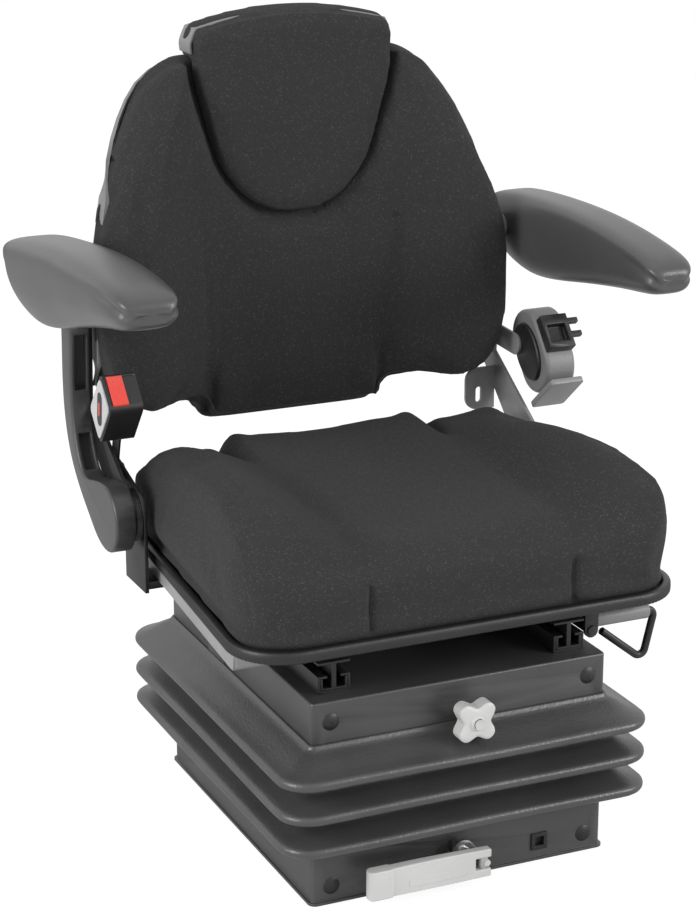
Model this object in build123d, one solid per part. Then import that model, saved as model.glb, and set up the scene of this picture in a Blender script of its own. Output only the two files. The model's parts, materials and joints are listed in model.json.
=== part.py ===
from build123d import *
import os
from math import asin, atan2, cos, degrees, hypot, radians, sin

# A tractor seat on a scissor suspension with a rubber bellows, fore and aft slides, a reclining back,
# a lifting backrest extension, folding armrests, a belt buckle and a belt retractor.
# Millimetres. +Z is up, the sitter faces -Y, and left and right are as seen from the front.
# The origin is the centre of the base's underside.

# Housings of the suspension, folded from sheet
base_width = 320.0
base_depth = 378.0
sheet = 2.5
foot_lip = 3.0
lower_height = 60.0
upper_top = 212.0
upper_height = 62.0
housing_corner = 5.0
bolt_spacing_x = 216.0
bolt_spacing_y = 285.0
bolt_hole_radius = 4.5
cap_radius = 9.0
cap_height = 2.6
cap_shank = 5.0
cap_inset = 20.0
lower_cap_z = 18.0
upper_cap_z = 191.0

# Bellows
bellows_wall = 2.5
bellows_top = 170.0
bellows_foot = 52.0
bellows_reach = 40.0
bellows_waist = 9.0
bellows_corner = 45.0
tip_half = 2.5
first_tip = 143.0
tip_pitch = 34.5

# Scissor suspension
travel = 70.0
arm_length = 330.0
arm_bar = 6.0
arm_height = 26.0
pivot_y = 150.0
lower_pivot_z = 30.0
upper_pivot_z = 190.0
outer_arm_x = 132.0
inner_arm_x = 120.0
cross_tube = 9.0
shaft_radius = 6.0
roller_radius = 11.0
roller_width = 12.0
track_play = 3.0
track_wall = 2.5
centre_bolt = 6.0
centre_play = 2.0
tie_offset = 90.0
hinge_plate_x = 140.0
hinge_plate_half = 12.0
track_before = 45.0
track_after = 22.0
run_gap = 0.05
soft_gap = 0.3

# Spring and damper
damper_radius = 19.0
damper_top = 122.0
damper_rod = 6.0
spring_mean = 38.0
spring_wire = 8.0
spring_turns = 5.0
spring_seat = 50.0
seat_ring = 6.0
piston_height = 8.0
buffer_x = 80.0
buffer_y = -80.0
buffer_radius = 12.0
buffer_height = 40.0

# Knob, weight crank and indicator
knob_z = 178.5
knob_front = -225.0
knob_thick = 15.5
knob_lobe = 8.6
knob_core = 13.0
knob_lobe_offset = 15.0
knob_button = 7.5
knob_stem = 8.0
crank_z = 27.0
crank_front = -225.0
crank_thick = 11.0
crank_height = 29.0
crank_length = 132.0
crank_grip = 27.0
hub_x = -4.0
spindle_radius = 6.0
spindle_z = 34.0
spindle_end = -62.0
height_spindle_end = -146.0
hub_radius = 12.0
hub_plate = 4.0
crank_gap = 9.0
notch_half = 6.0
fold_pin = 2.0
groove_length = 100.0
groove_height = 10.0
groove_depth = 1.2
groove_y = 50.0
groove_z = 31.0
indicator_x = 89.0
indicator_z = 20.0
indicator_size = 14.0

# Fore and aft slides
rail_x = 128.0
rail_width = 34.0
rail_length = 340.0
rail_wall = 2.5
lower_rail_height = 18.0
rail_top = 244.0
rail_slot = 7.0
slide_travel = 75.0
cross_member_y = (-112.0, 105.0)
member_half = 20.0

# Seat pan and cushion
pan_floor = 252.0
pan_rim = 279.0
pan_sheet = 2.5
seat_front = -218.0
seat_rear = 200.0
front_half = 236.0
rear_half = 203.0
front_corner = 52.0
rear_corner = 40.0
trim_width = 5.0
trim_height = 12.0
cushion_bulge = 9.0
dish_radius = 620.0
dish_floor = 82.0
dish_rise = 20.0

# Slide lever
lever_pivot_x = 153.5
lever_y = -143.0
lever_z = 230.0
lever_rod = 4.0
lever_grip = 8.5
lever_grip_end = 240.0
lever_drop = 55.0
lever_shaft = 5.0
ear_offset = 26.0
ear_half = 7.5

# Recliner
recline_y = 105.0
recline_z = 320.0
bracket_x = 226.0
plate = 4.0
mechanism_radius = 27.0
mechanism_width = 5.7
recline_bolt = 6.0
side_plate_x = 236.0
armrest_y = 217.0
bracket_radius = 30.0
bolt_head = 3.0
plate_nose = 28.0
column_y = 222.0
column_z = 410.0
column_radius = 14.0
column_top = 16.0
lug_x = 200.0
lug_y = 204.0
lug_z = 352.0
lug_height = 48.0
lug_corner = 14.0
lever_tip_y = 20.0
cover_thick = 21.0
cover_nose = 35.0
cover_round = 3.0
pocket_depth = 11.0
pockets = [(203.0, 459.0, 60.0, 2.0), (189.0, 367.0, 40.0, -31.0)]
screw_radius = 3.0
shell_screw_z = (430.0, 500.0)
cover_holes = [(222.0, 410.0, 3.0), (218.0, 474.0, 3.0)]

# Backrest
back_bottom = 400.0
panel_bottom = 377.0
panel_half = 106.0
back_top = 764.0
back_front = 213.0
back_rear = 262.0
shell_wall = 4.0
shell_half = 233.0
shell_front = 202.0
shell_edge = 14.0

# Backrest extension
extension_top = 818.0
extension_half = 116.0
tongue_bottom = 593.0
tongue_front = 207.0
tongue_back = 231.0
extension_rear = 252.0
extension_travel = 60.0
guide_radius = 5.0
guide_x = 55.0
guide_y = 241.5
guide_bottom = 600.0
guide_top = 800.0
sleeve_radius = 8.0
sleeve_bottom = 640.0
extension_gap = 0.8

# Armrests
armrest_inner = 250.0
armrest_width = 53.0
armrest_reach = 312.0
armrest_rise = 36.0
armrest_round = 8.0
pin_reach = 34.0
left_pin_z = 546.0
right_pin_z = 558.0
armrest_front = 33.0
armrest_skirt = 44.0
armrest_pin = 8.0
left_tilt = 3.6
right_tilt = -3.5

# Belt parts
buckle_x = -235.0
buckle_y = 118.0
buckle_z = 428.0
buckle_width = 30.0
buckle_depth = 44.0
buckle_length = 56.0
buckle_lean = 27.0
buckle_wall = 3.5
stalk_thick = 2.6
stalk_width = 18.0
stalk_length = 85.0
stalk_end = 11.0
anchor_bolt = 5.0
anchor_radius = 13.0
button_wide = 11.0
button_long = 26.0
button_deep = 14.0
button_travel = 4.0
tongue_slot = 3.6
retractor_y = 146.0
retractor_z = 430.0
retractor_lean = 40.0
retractor_width = 44.0
retractor_long = 96.0
retractor_tall = 64.0
retractor_plate = 3.5


def block(x, y, z):
    """A box between two corners, given as pairs of limits."""
    size = Box(x[1] - x[0], y[1] - y[0], z[1] - z[0])
    return Pos((x[0] + x[1]) / 2, (y[0] + y[1]) / 2, (z[0] + z[1]) / 2) * size


def from_side(sketch, x_start, x_end):
    """A sketch in (Y, Z) made solid from one X to another."""
    plane = Plane(origin=(x_start, 0, 0), x_dir=(0, 1, 0), z_dir=(1, 0, 0))
    return extrude(plane * sketch, x_end - x_start)


def from_front(sketch, y_start, y_end):
    """A sketch in (X, Z) made solid from one Y to a larger one."""
    plane = Plane(origin=(0, y_end, 0), x_dir=(1, 0, 0), z_dir=(0, -1, 0))
    return extrude(plane * sketch, y_end - y_start)


def rod_x(y, z, radius, x_start, x_end):
    return from_side(Pos(y, z) * Circle(radius), x_start, x_end)


def rod_y(x, z, radius, y_start, y_end):
    return from_front(Pos(x, z) * Circle(radius), y_start, y_end)


def rod_z(x, y, radius, z_start, z_end):
    return Pos(x, y, (z_start + z_end) / 2) * Cylinder(radius, z_end - z_start)


def mirrored(shape):
    return mirror(shape, about=Plane.YZ)


def both_sides(shape):
    return [shape, mirrored(shape)]


def polygon(*points):
    return make_face(Polyline(*points, close=True))


def rounded(sketch, radii):
    """Round the corners named by their nearest point, one (x, y, radius) for each."""
    for x, y, radius in radii:
        near = min(sketch.vertices(), key=lambda v: hypot(v.X - x, v.Y - y))
        sketch = fillet(near, radius)
    return sketch


def save(name, shape):
    solids = shape if isinstance(shape, list) else [shape]
    parts = [solid for item in solids for solid in item.solids()]
    export_step(parts[0] if len(parts) == 1 else Compound(children=parts), f"parts/{name}.step")


# Values that follow from the sizes above
wall_x = base_width / 2 - sheet
front_face = -base_depth / 2
arm_angle = degrees(asin((upper_pivot_z - lower_pivot_z) / arm_length))
arm_span = arm_length * cos(radians(arm_angle))
roller_y = pivot_y - arm_span
middle_y = pivot_y - arm_span / 2
middle_z = (lower_pivot_z + upper_pivot_z) / 2
upper_bottom = upper_top - upper_height
ceiling = upper_top - sheet
crank_back = crank_front + crank_thick
fold_x = 10.0
fold_y = (crank_front + crank_back) / 2
anchor_y = buckle_y + stalk_length * sin(radians(buckle_lean))
anchor_z = buckle_z - stalk_length * cos(radians(buckle_lean))
strap_middle = -(bracket_x + plate + soft_gap + stalk_thick / 2)


def housing_shell(z_low, z_high):
    outer = extrude(Pos(0, 0, z_low) * RectangleRounded(base_width, base_depth, housing_corner), z_high - z_low)
    inner = RectangleRounded(base_width - 2 * sheet, base_depth - 2 * sheet, housing_corner - sheet)
    return outer, inner


def lower_housing():
    outer, inner = housing_shell(0, lower_height)
    lip = RectangleRounded(base_width + 2 * foot_lip, base_depth + 2 * foot_lip, housing_corner + foot_lip)
    body = outer + extrude(lip, sheet) - extrude(Pos(0, 0, sheet) * inner, lower_height)
    for x in (-bolt_spacing_x / 2, bolt_spacing_x / 2):
        for y in (-bolt_spacing_y / 2, bolt_spacing_y / 2):
            body -= rod_z(x, y, bolt_hole_radius, -1, sheet + 1)
    for x in (cap_inset - base_width / 2, base_width / 2 - cap_inset):
        body -= rod_y(x, lower_cap_z, cap_shank + run_gap, front_face - 1, front_face + sheet + 1)
    body -= rod_y(hub_x, spindle_z, spindle_radius + run_gap, front_face - 1, front_face + sheet + 1)
    half = indicator_size / 2
    window = (indicator_x - half, indicator_x + half), (indicator_z - half, indicator_z + half)
    body -= block(window[0], (front_face - 1, front_face + sheet + 1), window[1])
    groove = SlotOverall(groove_length, groove_height)
    return body - from_side(Pos(groove_y, groove_z) * groove, -base_width / 2 - 1, -base_width / 2 + groove_depth)


def upper_housing():
    outer, inner = housing_shell(upper_bottom, upper_top)
    outer = fillet(outer.faces().sort_by(Axis.Z)[-1].edges(), sheet)
    body = outer - extrude(Pos(0, 0, upper_bottom - 1) * inner, upper_height - sheet + 1)
    for x in (cap_inset - base_width / 2, base_width / 2 - cap_inset):
        body -= rod_y(x, upper_cap_z, cap_shank + run_gap, front_face - 1, front_face + sheet + 1)
    return body - rod_y(0, knob_z, spindle_radius + run_gap, front_face - 1, front_face + sheet + 1)


def dome_plug():
    """A domed plug, its shank down along -Z and its head standing on z = 0."""
    dome = (cap_radius ** 2 + cap_height ** 2) / (2 * cap_height)
    head = Pos(0, 0, cap_height - dome) * Sphere(dome)
    head &= Pos(0, 0, cap_height / 2) * Cylinder(cap_radius, cap_height)
    return head + Pos(0, 0, -sheet) * Cylinder(cap_shank, 2 * sheet)


def housing_plugs(z):
    plug = Rot(90, 0, 0) * dome_plug()
    return [Pos(x, front_face, z) * plug for x in (cap_inset - base_width / 2, base_width / 2 - cap_inset)]


def bellows_layers(inset):
    """Heights and half reaches of the folds, from the foot to the top."""
    tips = [first_tip - tip_pitch * fold for fold in (2, 1, 0)]
    collar = soft_gap + bellows_wall
    layers = [(bellows_foot, collar)]
    for tip in tips:
        layers += [(tip - tip_half, bellows_reach), (tip + tip_half, bellows_reach)]
        if tip != tips[-1]:
            layers.append((tip + tip_pitch / 2, bellows_waist))
    layers.append((bellows_top, collar))
    return [(z, reach - inset) for z, reach in layers]


def bellows_solid(inset):
    sections = []
    for z, reach in bellows_layers(inset):
        corner = housing_corner + reach * (bellows_corner - housing_corner) / bellows_reach
        outline = RectangleRounded(base_width + 2 * reach, base_depth + 2 * reach, corner)
        sections.append(Pos(0, 0, z) * outline)
    return loft(sections, ruled=True)


def bellows():
    return bellows_solid(0) - bellows_solid(bellows_wall)


def indicator():
    half = indicator_size / 2
    x = (indicator_x - half + run_gap, indicator_x + half - run_gap)
    z = (indicator_z - half + run_gap, indicator_z + half - run_gap)
    wide = (x[0] - 2, x[1] + 2), (z[0] - 2, z[1] + 2)
    frame = block(wide[0], (front_face - 2, front_face), wide[1]) + block(x, (front_face, front_face + 8), z)
    return frame - block((x[0] + 2, x[1] - 2), (front_face - 3, front_face + 4), (z[0] + 2, z[1] - 2))


def arm_bars(x_middle, rising):
    """A pair of flat bars between the rear pivot and the front roller of one scissor."""
    sign = 1 if rising else -1
    rear_z = lower_pivot_z if rising else upper_pivot_z
    bar = Pos(middle_y, middle_z) * Rot(0, 0, -sign * arm_angle) * SlotCenterToCenter(arm_length, arm_height)
    bar -= Pos(pivot_y, rear_z) * Circle(shaft_radius + run_gap)
    solid = from_side(bar, x_middle - arm_bar / 2, x_middle + arm_bar / 2)
    return solid


def scissor_arm(x_middle, rising, centre_hole):
    sign = 1 if rising else -1
    rear_z = lower_pivot_z if rising else upper_pivot_z
    front_z = upper_pivot_z if rising else lower_pivot_z
    bar = arm_bars(x_middle, rising)
    stub_end = wall_x - track_wall - track_play
    bar += rod_x(roller_y, front_z, shaft_radius, x_middle, stub_end)
    bar -= rod_x(middle_y, middle_z, centre_hole, x_middle - arm_bar, x_middle + arm_bar)
    tie_y = roller_y + tie_offset * cos(radians(arm_angle))
    tie_z = front_z - sign * tie_offset * sin(radians(arm_angle))
    arm = bar + mirrored(bar) + rod_x(tie_y, tie_z, cross_tube, -x_middle, x_middle)
    reach = hinge_plate_x - run_gap
    arm += rod_x(pivot_y, rear_z, cross_tube, -reach, reach)
    return arm - rod_x(pivot_y, rear_z, shaft_radius + run_gap, -reach - 1, reach + 1)


def rollers(z):
    outer = wall_x - track_wall - track_play
    roller = Pos(roller_y, z) * (Circle(roller_radius) - Circle(shaft_radius + run_gap))
    return both_sides(from_side(roller, outer - roller_width, outer))


def roller_tracks(z):
    half = roller_radius + track_play
    web = wall_x - track_wall
    inner = web - track_play - roller_width - 1
    length = (roller_y - track_before, roller_y + track_after)
    track = block((web, wall_x), length, (z - half - track_wall, z + half + track_wall))
    track += block((inner, web), length, (z + half, z + half + track_wall))
    track += block((inner, web), length, (z - half - track_wall, z - half))
    return both_sides(track)


def hinge_plates(z, root_z):
    """Two plates welded to a housing, which carry a hinge shaft."""
    ends = Pos(pivot_y, z) * Circle(hinge_plate_half)
    low, high = min(z, root_z), max(z, root_z)
    foot = Pos(pivot_y, (low + high) / 2) * Rectangle(2 * hinge_plate_half, high - low)
    plate_face = ends + foot - Pos(pivot_y, z) * Circle(shaft_radius + run_gap)
    return both_sides(from_side(plate_face, hinge_plate_x, hinge_plate_x + plate))


def hinge_shaft(z):
    half = hinge_plate_x + plate + 2
    return rod_x(pivot_y, z, shaft_radius, -half, half)


def centre_bolts():
    """Shouldered bolts where the arms cross. They sit in the outer arms and pass the inner ones freely."""
    inner = inner_arm_x + arm_bar / 2
    outer = outer_arm_x - arm_bar / 2
    bolt = rod_x(middle_y, middle_z, centre_bolt, inner_arm_x - arm_bar / 2, outer_arm_x + arm_bar / 2)
    bolt += rod_x(middle_y, middle_z, centre_bolt + 4, inner + 0.5, outer)
    head = from_side(Pos(middle_y, middle_z) * RegularPolygon(centre_bolt + 4, 6), 0, 4)
    return both_sides(bolt + Pos(outer_arm_x + arm_bar / 2, 0, 0) * head)


def spring_seat_ring(z_low, bore):
    ring = Circle(spring_seat) - Circle(bore + run_gap)
    return extrude(Pos(0, 0, z_low) * ring, seat_ring)


def coil_spring():
    low = sheet + seat_ring + spring_wire / 2 + soft_gap
    high = ceiling - seat_ring - spring_wire / 2 - soft_gap
    path = Pos(0, 0, low) * Helix((high - low) / spring_turns, high - low, spring_mean)
    start = Plane(origin=path @ 0, z_dir=path % 0)
    return sweep(start * Circle(spring_wire / 2), path, is_frenet=True)


def damper_tube():
    wall = 3.0
    tube = rod_z(0, 0, damper_radius, sheet, damper_top)
    tube -= rod_z(0, 0, damper_radius - wall, sheet + wall, damper_top - wall)
    return tube - rod_z(0, 0, damper_rod + run_gap, damper_top - wall - 1, damper_top + 1)


def damper_piston():
    wall = 3.0
    low = damper_top - wall - piston_height - 3
    rod = rod_z(0, 0, damper_rod, low, ceiling)
    return rod + rod_z(0, 0, damper_radius - wall - run_gap, low, low + piston_height)


def rubber_buffers():
    buffer = Pos(buffer_x, buffer_y, sheet) * Cone(buffer_radius, buffer_radius * 0.7, buffer_height,
                                                  align=(Align.CENTER, Align.CENTER, Align.MIN))
    return both_sides(buffer)


def spindle_bearing():
    half = spindle_radius + 9
    post = block((hub_x - half, hub_x + half), (spindle_end - 6, spindle_end + 6), (sheet, spindle_z + half))
    return post - rod_y(hub_x, spindle_z, spindle_radius + run_gap, spindle_end - 7, spindle_end + 7)


def height_bearing():
    half = spindle_radius + 9
    y = (height_spindle_end - 6, height_spindle_end + 6)
    post = block((-half, half), y, (knob_z - half, ceiling))
    return post - rod_y(0, knob_z, spindle_radius + run_gap, y[0] - 1, y[1] + 1)


def height_knob():
    lobes = Circle(knob_core)
    for angle in (45, 135, 225, 315):
        lobes += Rot(0, 0, angle) * Pos(knob_lobe_offset, 0) * Circle(knob_lobe)
    inner = [v for v in lobes.vertices() if hypot(v.X, v.Y) < knob_lobe_offset + 2]
    star = fillet(inner, 3)
    body = from_front(Pos(0, knob_z) * star, knob_front, knob_front + knob_thick)
    body = chamfer(body.faces().sort_by(Axis.Y)[0].edges(), 1)
    body += rod_y(0, knob_z, knob_stem, knob_front + knob_thick, front_face - run_gap)
    body -= rod_y(0, knob_z, knob_button + run_gap, knob_front - 1, knob_front + 4)
    return body - rod_y(0, knob_z, spindle_radius + run_gap, knob_front + 4, front_face)


def crank_hub():
    """The plate on the spindle's end, with the lug that the folding arm turns on."""
    back = crank_back + crank_gap
    boss = rod_y(hub_x, spindle_z, hub_radius - 3, back + hub_plate, front_face - run_gap)
    plate_face = make_hull((Pos(hub_x, spindle_z) * Circle(hub_radius) + Pos(fold_x, crank_z) * Circle(6)).edges())
    body = boss + from_front(plate_face, back, back + hub_plate)
    lug_z = (crank_z - notch_half + run_gap, crank_z + notch_half - run_gap)
    body += block((fold_x - 5, fold_x + 5), (fold_y, back + 1), lug_z)
    body += rod_z(fold_x, fold_y, 5, *lug_z)
    body -= rod_y(hub_x, spindle_z, spindle_radius + run_gap, back - 1, front_face)
    return body - rod_z(fold_x, fold_y, fold_pin + run_gap, 0, 2 * crank_z)


def crank_arm():
    x_end = fold_x + 7
    z = (crank_z - crank_height / 2, crank_z + crank_height / 2)
    face = make_hull((Pos(x_end - crank_length + 12, crank_z) * Circle(crank_height / 2)
                      + Pos(x_end - 6, crank_z) * Rectangle(12, crank_height)).edges())
    arm = from_front(face, crank_front, crank_back)
    arm = chamfer(arm.faces().sort_by(Axis.Y)[0].edges(), 1.2)
    left = x_end - crank_length
    grip = extrude(Pos(left + crank_grip / 2, (crank_front + crank_back) / 2, z[0] - 1)
                   * RectangleRounded(crank_grip, crank_thick + 4, 6), crank_height + 2)
    arm += chamfer(grip.faces().sort_by(Axis.Z)[-1].edges() + grip.faces().sort_by(Axis.Z)[0].edges(), 1.5)
    arm -= block((fold_x - 10, x_end + 1), (crank_front - 1, crank_back + 1),
                 (crank_z - notch_half, crank_z + notch_half))
    return arm - rod_z(fold_x, fold_y, fold_pin, z[0] - 2, z[1] + 2)


def lower_rail():
    base = upper_top
    half = rail_width / 2
    top = base + lower_rail_height
    section = Pos(0, base + rail_wall / 2) * Rectangle(rail_width, rail_wall)
    for side in (-1, 1):
        section += Pos(side * (half - rail_wall / 2), base + lower_rail_height / 2) * Rectangle(rail_wall,
                                                                                               lower_rail_height)
        lip = half - rail_slot
        section += Pos(side * (half - lip / 2), top - rail_wall / 2) * Rectangle(lip, rail_wall)
    return from_front(Pos(rail_x, 0) * section, -rail_length / 2, rail_length / 2)


def upper_rail():
    low = upper_top + rail_wall + soft_gap
    lip_under = upper_top + lower_rail_height - rail_wall - soft_gap
    foot_half = rail_width / 2 - rail_wall - soft_gap
    section = Pos(0, low + rail_wall / 2) * Rectangle(2 * foot_half, rail_wall)
    for side in (-1, 1):
        section += Pos(side * (foot_half - rail_wall / 2), (low + lip_under) / 2) * Rectangle(rail_wall,
                                                                                            lip_under - low)
    section += Pos(0, (low + rail_top) / 2) * Rectangle(2 * rail_wall, rail_top - low)
    section += Pos(0, rail_top - rail_wall / 2) * Rectangle(rail_width, rail_wall)
    return from_front(Pos(rail_x, 0) * section, -rail_length / 2, rail_length / 2)


def seat_frame():
    """Two cross members between the slides and the pan, with ears for the slide lever's shaft."""
    frame = None
    for y in cross_member_y:
        member = block((-bracket_x, bracket_x), (y - member_half, y + member_half), (rail_top, pan_floor))
        hollow = block((-bracket_x + 2, bracket_x - 2), (y - member_half + 3, y + member_half - 3),
                       (rail_top - 1, pan_floor - 3))
        frame = member - hollow if frame is None else frame + member - hollow
    ear_face = Pos(lever_pivot_x, lever_z) * Circle(ear_half)
    ear_face += Pos(lever_pivot_x, (lever_z + pan_floor) / 2) * Rectangle(2 * ear_half, pan_floor - lever_z)
    ear_face -= Pos(lever_pivot_x, lever_z) * Circle(lever_shaft + run_gap)
    for y in (lever_y - ear_offset, lever_y + ear_offset):
        frame += from_front(ear_face, y - 2, y + 2)
    strip = block((lever_pivot_x - ear_half, lever_pivot_x + ear_half), (lever_y - ear_offset - 2, lever_y + ear_offset + 2),
                  (pan_floor - 2, pan_floor))
    return frame + strip


def seat_outline(grow=0.0):
    """The pan's outline seen from above: a trapezium with round corners, grown outwards by an amount."""
    outline = polygon((-front_half, seat_front), (front_half, seat_front), (rear_half, seat_rear),
                      (-rear_half, seat_rear))
    radii = [(side * front_half, seat_front, front_corner) for side in (-1, 1)]
    radii += [(side * rear_half, seat_rear, rear_corner) for side in (-1, 1)]
    outline = rounded(outline, radii)
    return offset(outline, grow) if grow else outline


def seat_pan():
    pan = extrude(Pos(0, 0, pan_floor) * seat_outline(), pan_rim - pan_floor)
    return pan - extrude(Pos(0, 0, pan_floor + pan_sheet) * seat_outline(-pan_sheet), pan_rim)


def pan_trim():
    low = pan_rim + pan_sheet - trim_height
    ring = extrude(Pos(0, 0, low) * seat_outline(trim_width), trim_height)
    ring -= extrude(Pos(0, 0, low) * seat_outline(), pan_rim - low)
    return ring - extrude(Pos(0, 0, low) * seat_outline(-trim_width + 1), trim_height)


def seat_cushion():
    foot = pan_rim + pan_sheet + soft_gap
    layers = [(0, -2), (18, 4), (46, cushion_bulge), (72, 5), (92, -6), (108, -20)]
    body = loft([Pos(0, 0, foot + rise) * seat_outline(grow) for rise, grow in layers])
    ridge = Spline((seat_front - 14, foot + 40), (seat_front - 3, foot + 63), (seat_front + 40, foot + 78),
                   (seat_front + 150, foot + 96), (seat_front + 260, foot + 101), (seat_rear - 40, foot + 100),
                   (seat_rear - 12, foot + 82), (seat_rear + 8, foot + 40))
    under = Polyline((seat_rear + 8, foot + 40), (seat_rear + 8, foot - 1), (seat_front - 14, foot - 1),
                     (seat_front - 14, foot + 40))
    body &= from_side(make_face(ridge + under), -front_half - 20, front_half + 20)
    tilt = degrees(atan2(dish_rise, seat_rear - seat_front))
    dish = Pos(0, 0, foot + dish_floor + dish_radius) * Rot(90 + tilt, 0, 0) * Cylinder(dish_radius, 700)
    body -= dish
    plug = extrude(Pos(0, 0, pan_floor + pan_sheet + soft_gap) * seat_outline(-pan_sheet - 2 * trim_width),
                   foot + 5 - pan_floor - pan_sheet - soft_gap)
    return body + plug


def slide_lever():
    rod_path = FilletPolyline((lever_pivot_x, lever_y, lever_z), (lever_grip_end + 3, lever_y, lever_z),
                              (lever_grip_end - 8, lever_y + 3, lever_z - lever_drop),
                              (lever_pivot_x + 28, lever_y + 1, lever_z - 15), radius=7)
    start = Plane(origin=rod_path @ 0, z_dir=rod_path % 0)
    rod = sweep(start * Circle(lever_rod), rod_path)
    shaft = rod_y(lever_pivot_x, lever_z, lever_shaft, lever_y - ear_offset - 4, lever_y + ear_offset + 4)
    latch = block((rail_x + rail_width / 2 + 1, lever_pivot_x), (lever_y + 8, lever_y + 18),
                  (lever_z - 2, lever_z + 2))
    return rod + shaft + latch


def lever_grip_sleeve():
    start = lever_pivot_x + 7
    sleeve = rod_x(lever_y, lever_z, lever_grip, start, lever_grip_end - 6)
    sleeve = fillet(sleeve.edges(), 2.5)
    return sleeve - rod_x(lever_y, lever_z, lever_rod + run_gap, start - 1, lever_grip_end)


def recliner_bracket(with_stalk):
    """The upright plate on the seat frame that carries the recliner, for the right side."""
    disc = Pos(recline_y, recline_z) * Circle(bracket_radius)
    foot = Pos(recline_y, (rail_top + recline_z) / 2) * Rectangle(2 * bracket_radius, recline_z - rail_top)
    face = disc + foot
    if with_stalk:
        ends = disc + Pos(anchor_y, anchor_z) * Circle(anchor_radius)
        face += make_hull(ends.edges())
        face -= Pos(anchor_y, anchor_z) * Circle(anchor_bolt + run_gap)
    face -= Pos(recline_y, recline_z) * Circle(recline_bolt + run_gap)
    return from_side(face, bracket_x, bracket_x + plate)


def recliner_mechanism():
    start = bracket_x + plate
    disc = rod_x(recline_y, recline_z, mechanism_radius, start, start + mechanism_width)
    return disc - rod_x(recline_y, recline_z, recline_bolt + run_gap, start - 1, start + mechanism_width + 1)


def recline_pivot_bolt(outer_face):
    """The bolt through bracket, mechanism and side plate, with its nut on the outer face."""
    head = bracket_x - bolt_head
    bolt = rod_x(recline_y, recline_z, recline_bolt, bracket_x, outer_face + 6)
    bolt += rod_x(recline_y, recline_z, recline_bolt + 4, head, bracket_x)
    nut = Pos(recline_y, recline_z) * RegularPolygon(recline_bolt + 4.5, 6)
    return bolt + from_side(nut, outer_face + soft_gap, outer_face + 5)


def side_plate(pin_z, holes):
    """The backrest's side plate from the recliner up to the armrest, with the armrest's pin, right side."""
    column = (column_y, column_z)
    leg = make_hull((Pos(recline_y, recline_z) * Circle(plate_nose) + Pos(*column) * Circle(column_radius)).edges())
    post = make_hull((Pos(*column) * Circle(column_radius) + Pos(armrest_y, pin_z) * Circle(column_top)).edges())
    face = leg + post - Pos(recline_y, recline_z) * Circle(recline_bolt + run_gap)
    for y, z, radius in holes + [(column_y, z, screw_radius) for z in shell_screw_z]:
        face -= Pos(y, z) * Circle(radius + run_gap)
    solid = from_side(face, side_plate_x, side_plate_x + plate)
    pin = rod_x(armrest_y, pin_z, armrest_pin, side_plate_x + plate, armrest_inner + pin_reach)
    collar = rod_x(armrest_y, pin_z, armrest_pin + 5, side_plate_x + plate, armrest_inner - soft_gap)
    return solid + pin + collar


def right_lug():
    """The light plate with a rounded end and a slot that stands inside the right side plate."""
    face = block((lug_x, side_plate_x), (lug_y, lug_y + plate), (lug_z, lug_z + lug_height))
    corner = face.edges().filter_by(Axis.Y).sort_by(Axis.X)[:2]
    face = fillet(corner, lug_corner)
    slot = Pos(lug_x + 16, lug_z + 17) * Rot(0, 0, 90) * SlotOverall(18, 7)
    return face - from_front(slot, lug_y - 1, lug_y + plate + 1)


def cover_profile():
    """The left side cover in (Y, Z): a boomerang with a round nose about the recliner."""
    top = left_pin_z - armrest_skirt - 6
    front = Spline((armrest_y - 15, top), (column_y - 17, column_z + 12), (column_y - 24, column_z - 26),
                   (recline_y + 72, recline_z + 30), (recline_y, recline_z + cover_nose),
                   tangents=((0, -1), (-1, 0)))
    nose = ThreePointArc((recline_y, recline_z + cover_nose), (recline_y - cover_nose, recline_z),
                         (recline_y, recline_z - cover_nose))
    rear = Spline((recline_y, recline_z - cover_nose), (recline_y + 48, recline_z - 16),
                  (recline_y + 102, recline_z + 29), (column_y + 10, column_z + 2),
                  (armrest_y + 16, column_z + 52), (armrest_y + 15, top), tangents=((1, 0), (0, 1)))
    return make_face(front + nose + rear + Line((armrest_y + 15, top), (armrest_y - 15, top)))


def left_side_cover():
    inner = side_plate_x + plate + soft_gap
    outer = inner + cover_thick
    body = from_side(cover_profile(), inner, outer)
    body = fillet(body.faces().sort_by(Axis.X)[-1].edges(), cover_round)
    body -= rod_x(recline_y, recline_z, recline_bolt + 8, inner - 1, inner + 9)
    for y, z, radius in cover_holes:
        body -= rod_x(y, z, radius + run_gap, inner - 1, inner + 9)
    for y, z, tall, lean in pockets:
        pocket = Box(cover_thick - 8, 2 * pocket_depth, tall)
        body -= Pos((inner + outer) / 2 - 1, y, z) * Rot(lean, 0, 0) * pocket
    return mirrored(body)


def cover_screws():
    """Two screws that hold the left cover on the side plate."""
    inner = side_plate_x + plate
    screws = []
    for y, z, radius in cover_holes:
        screws.append(mirrored(rod_x(y, z, radius, side_plate_x, inner + 8)))
    return screws


def recline_lever():
    inner = side_plate_x + plate + 1
    hub = Pos(recline_y, recline_z) * Circle(18)
    tip = Pos(lever_tip_y, recline_z + 2) * Circle(8)
    arm = make_hull((hub + tip).edges()) - Pos(recline_y, recline_z) * Circle(recline_bolt + run_gap)
    return from_side(arm, inner, inner + plate)


def recline_grip():
    inner = side_plate_x + plate + 1
    grip = Pos(inner + plate / 2, lever_tip_y + 12, recline_z + 2) * Box(14, 52, 22)
    return fillet(grip.edges(), 4) - recline_lever()


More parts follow.
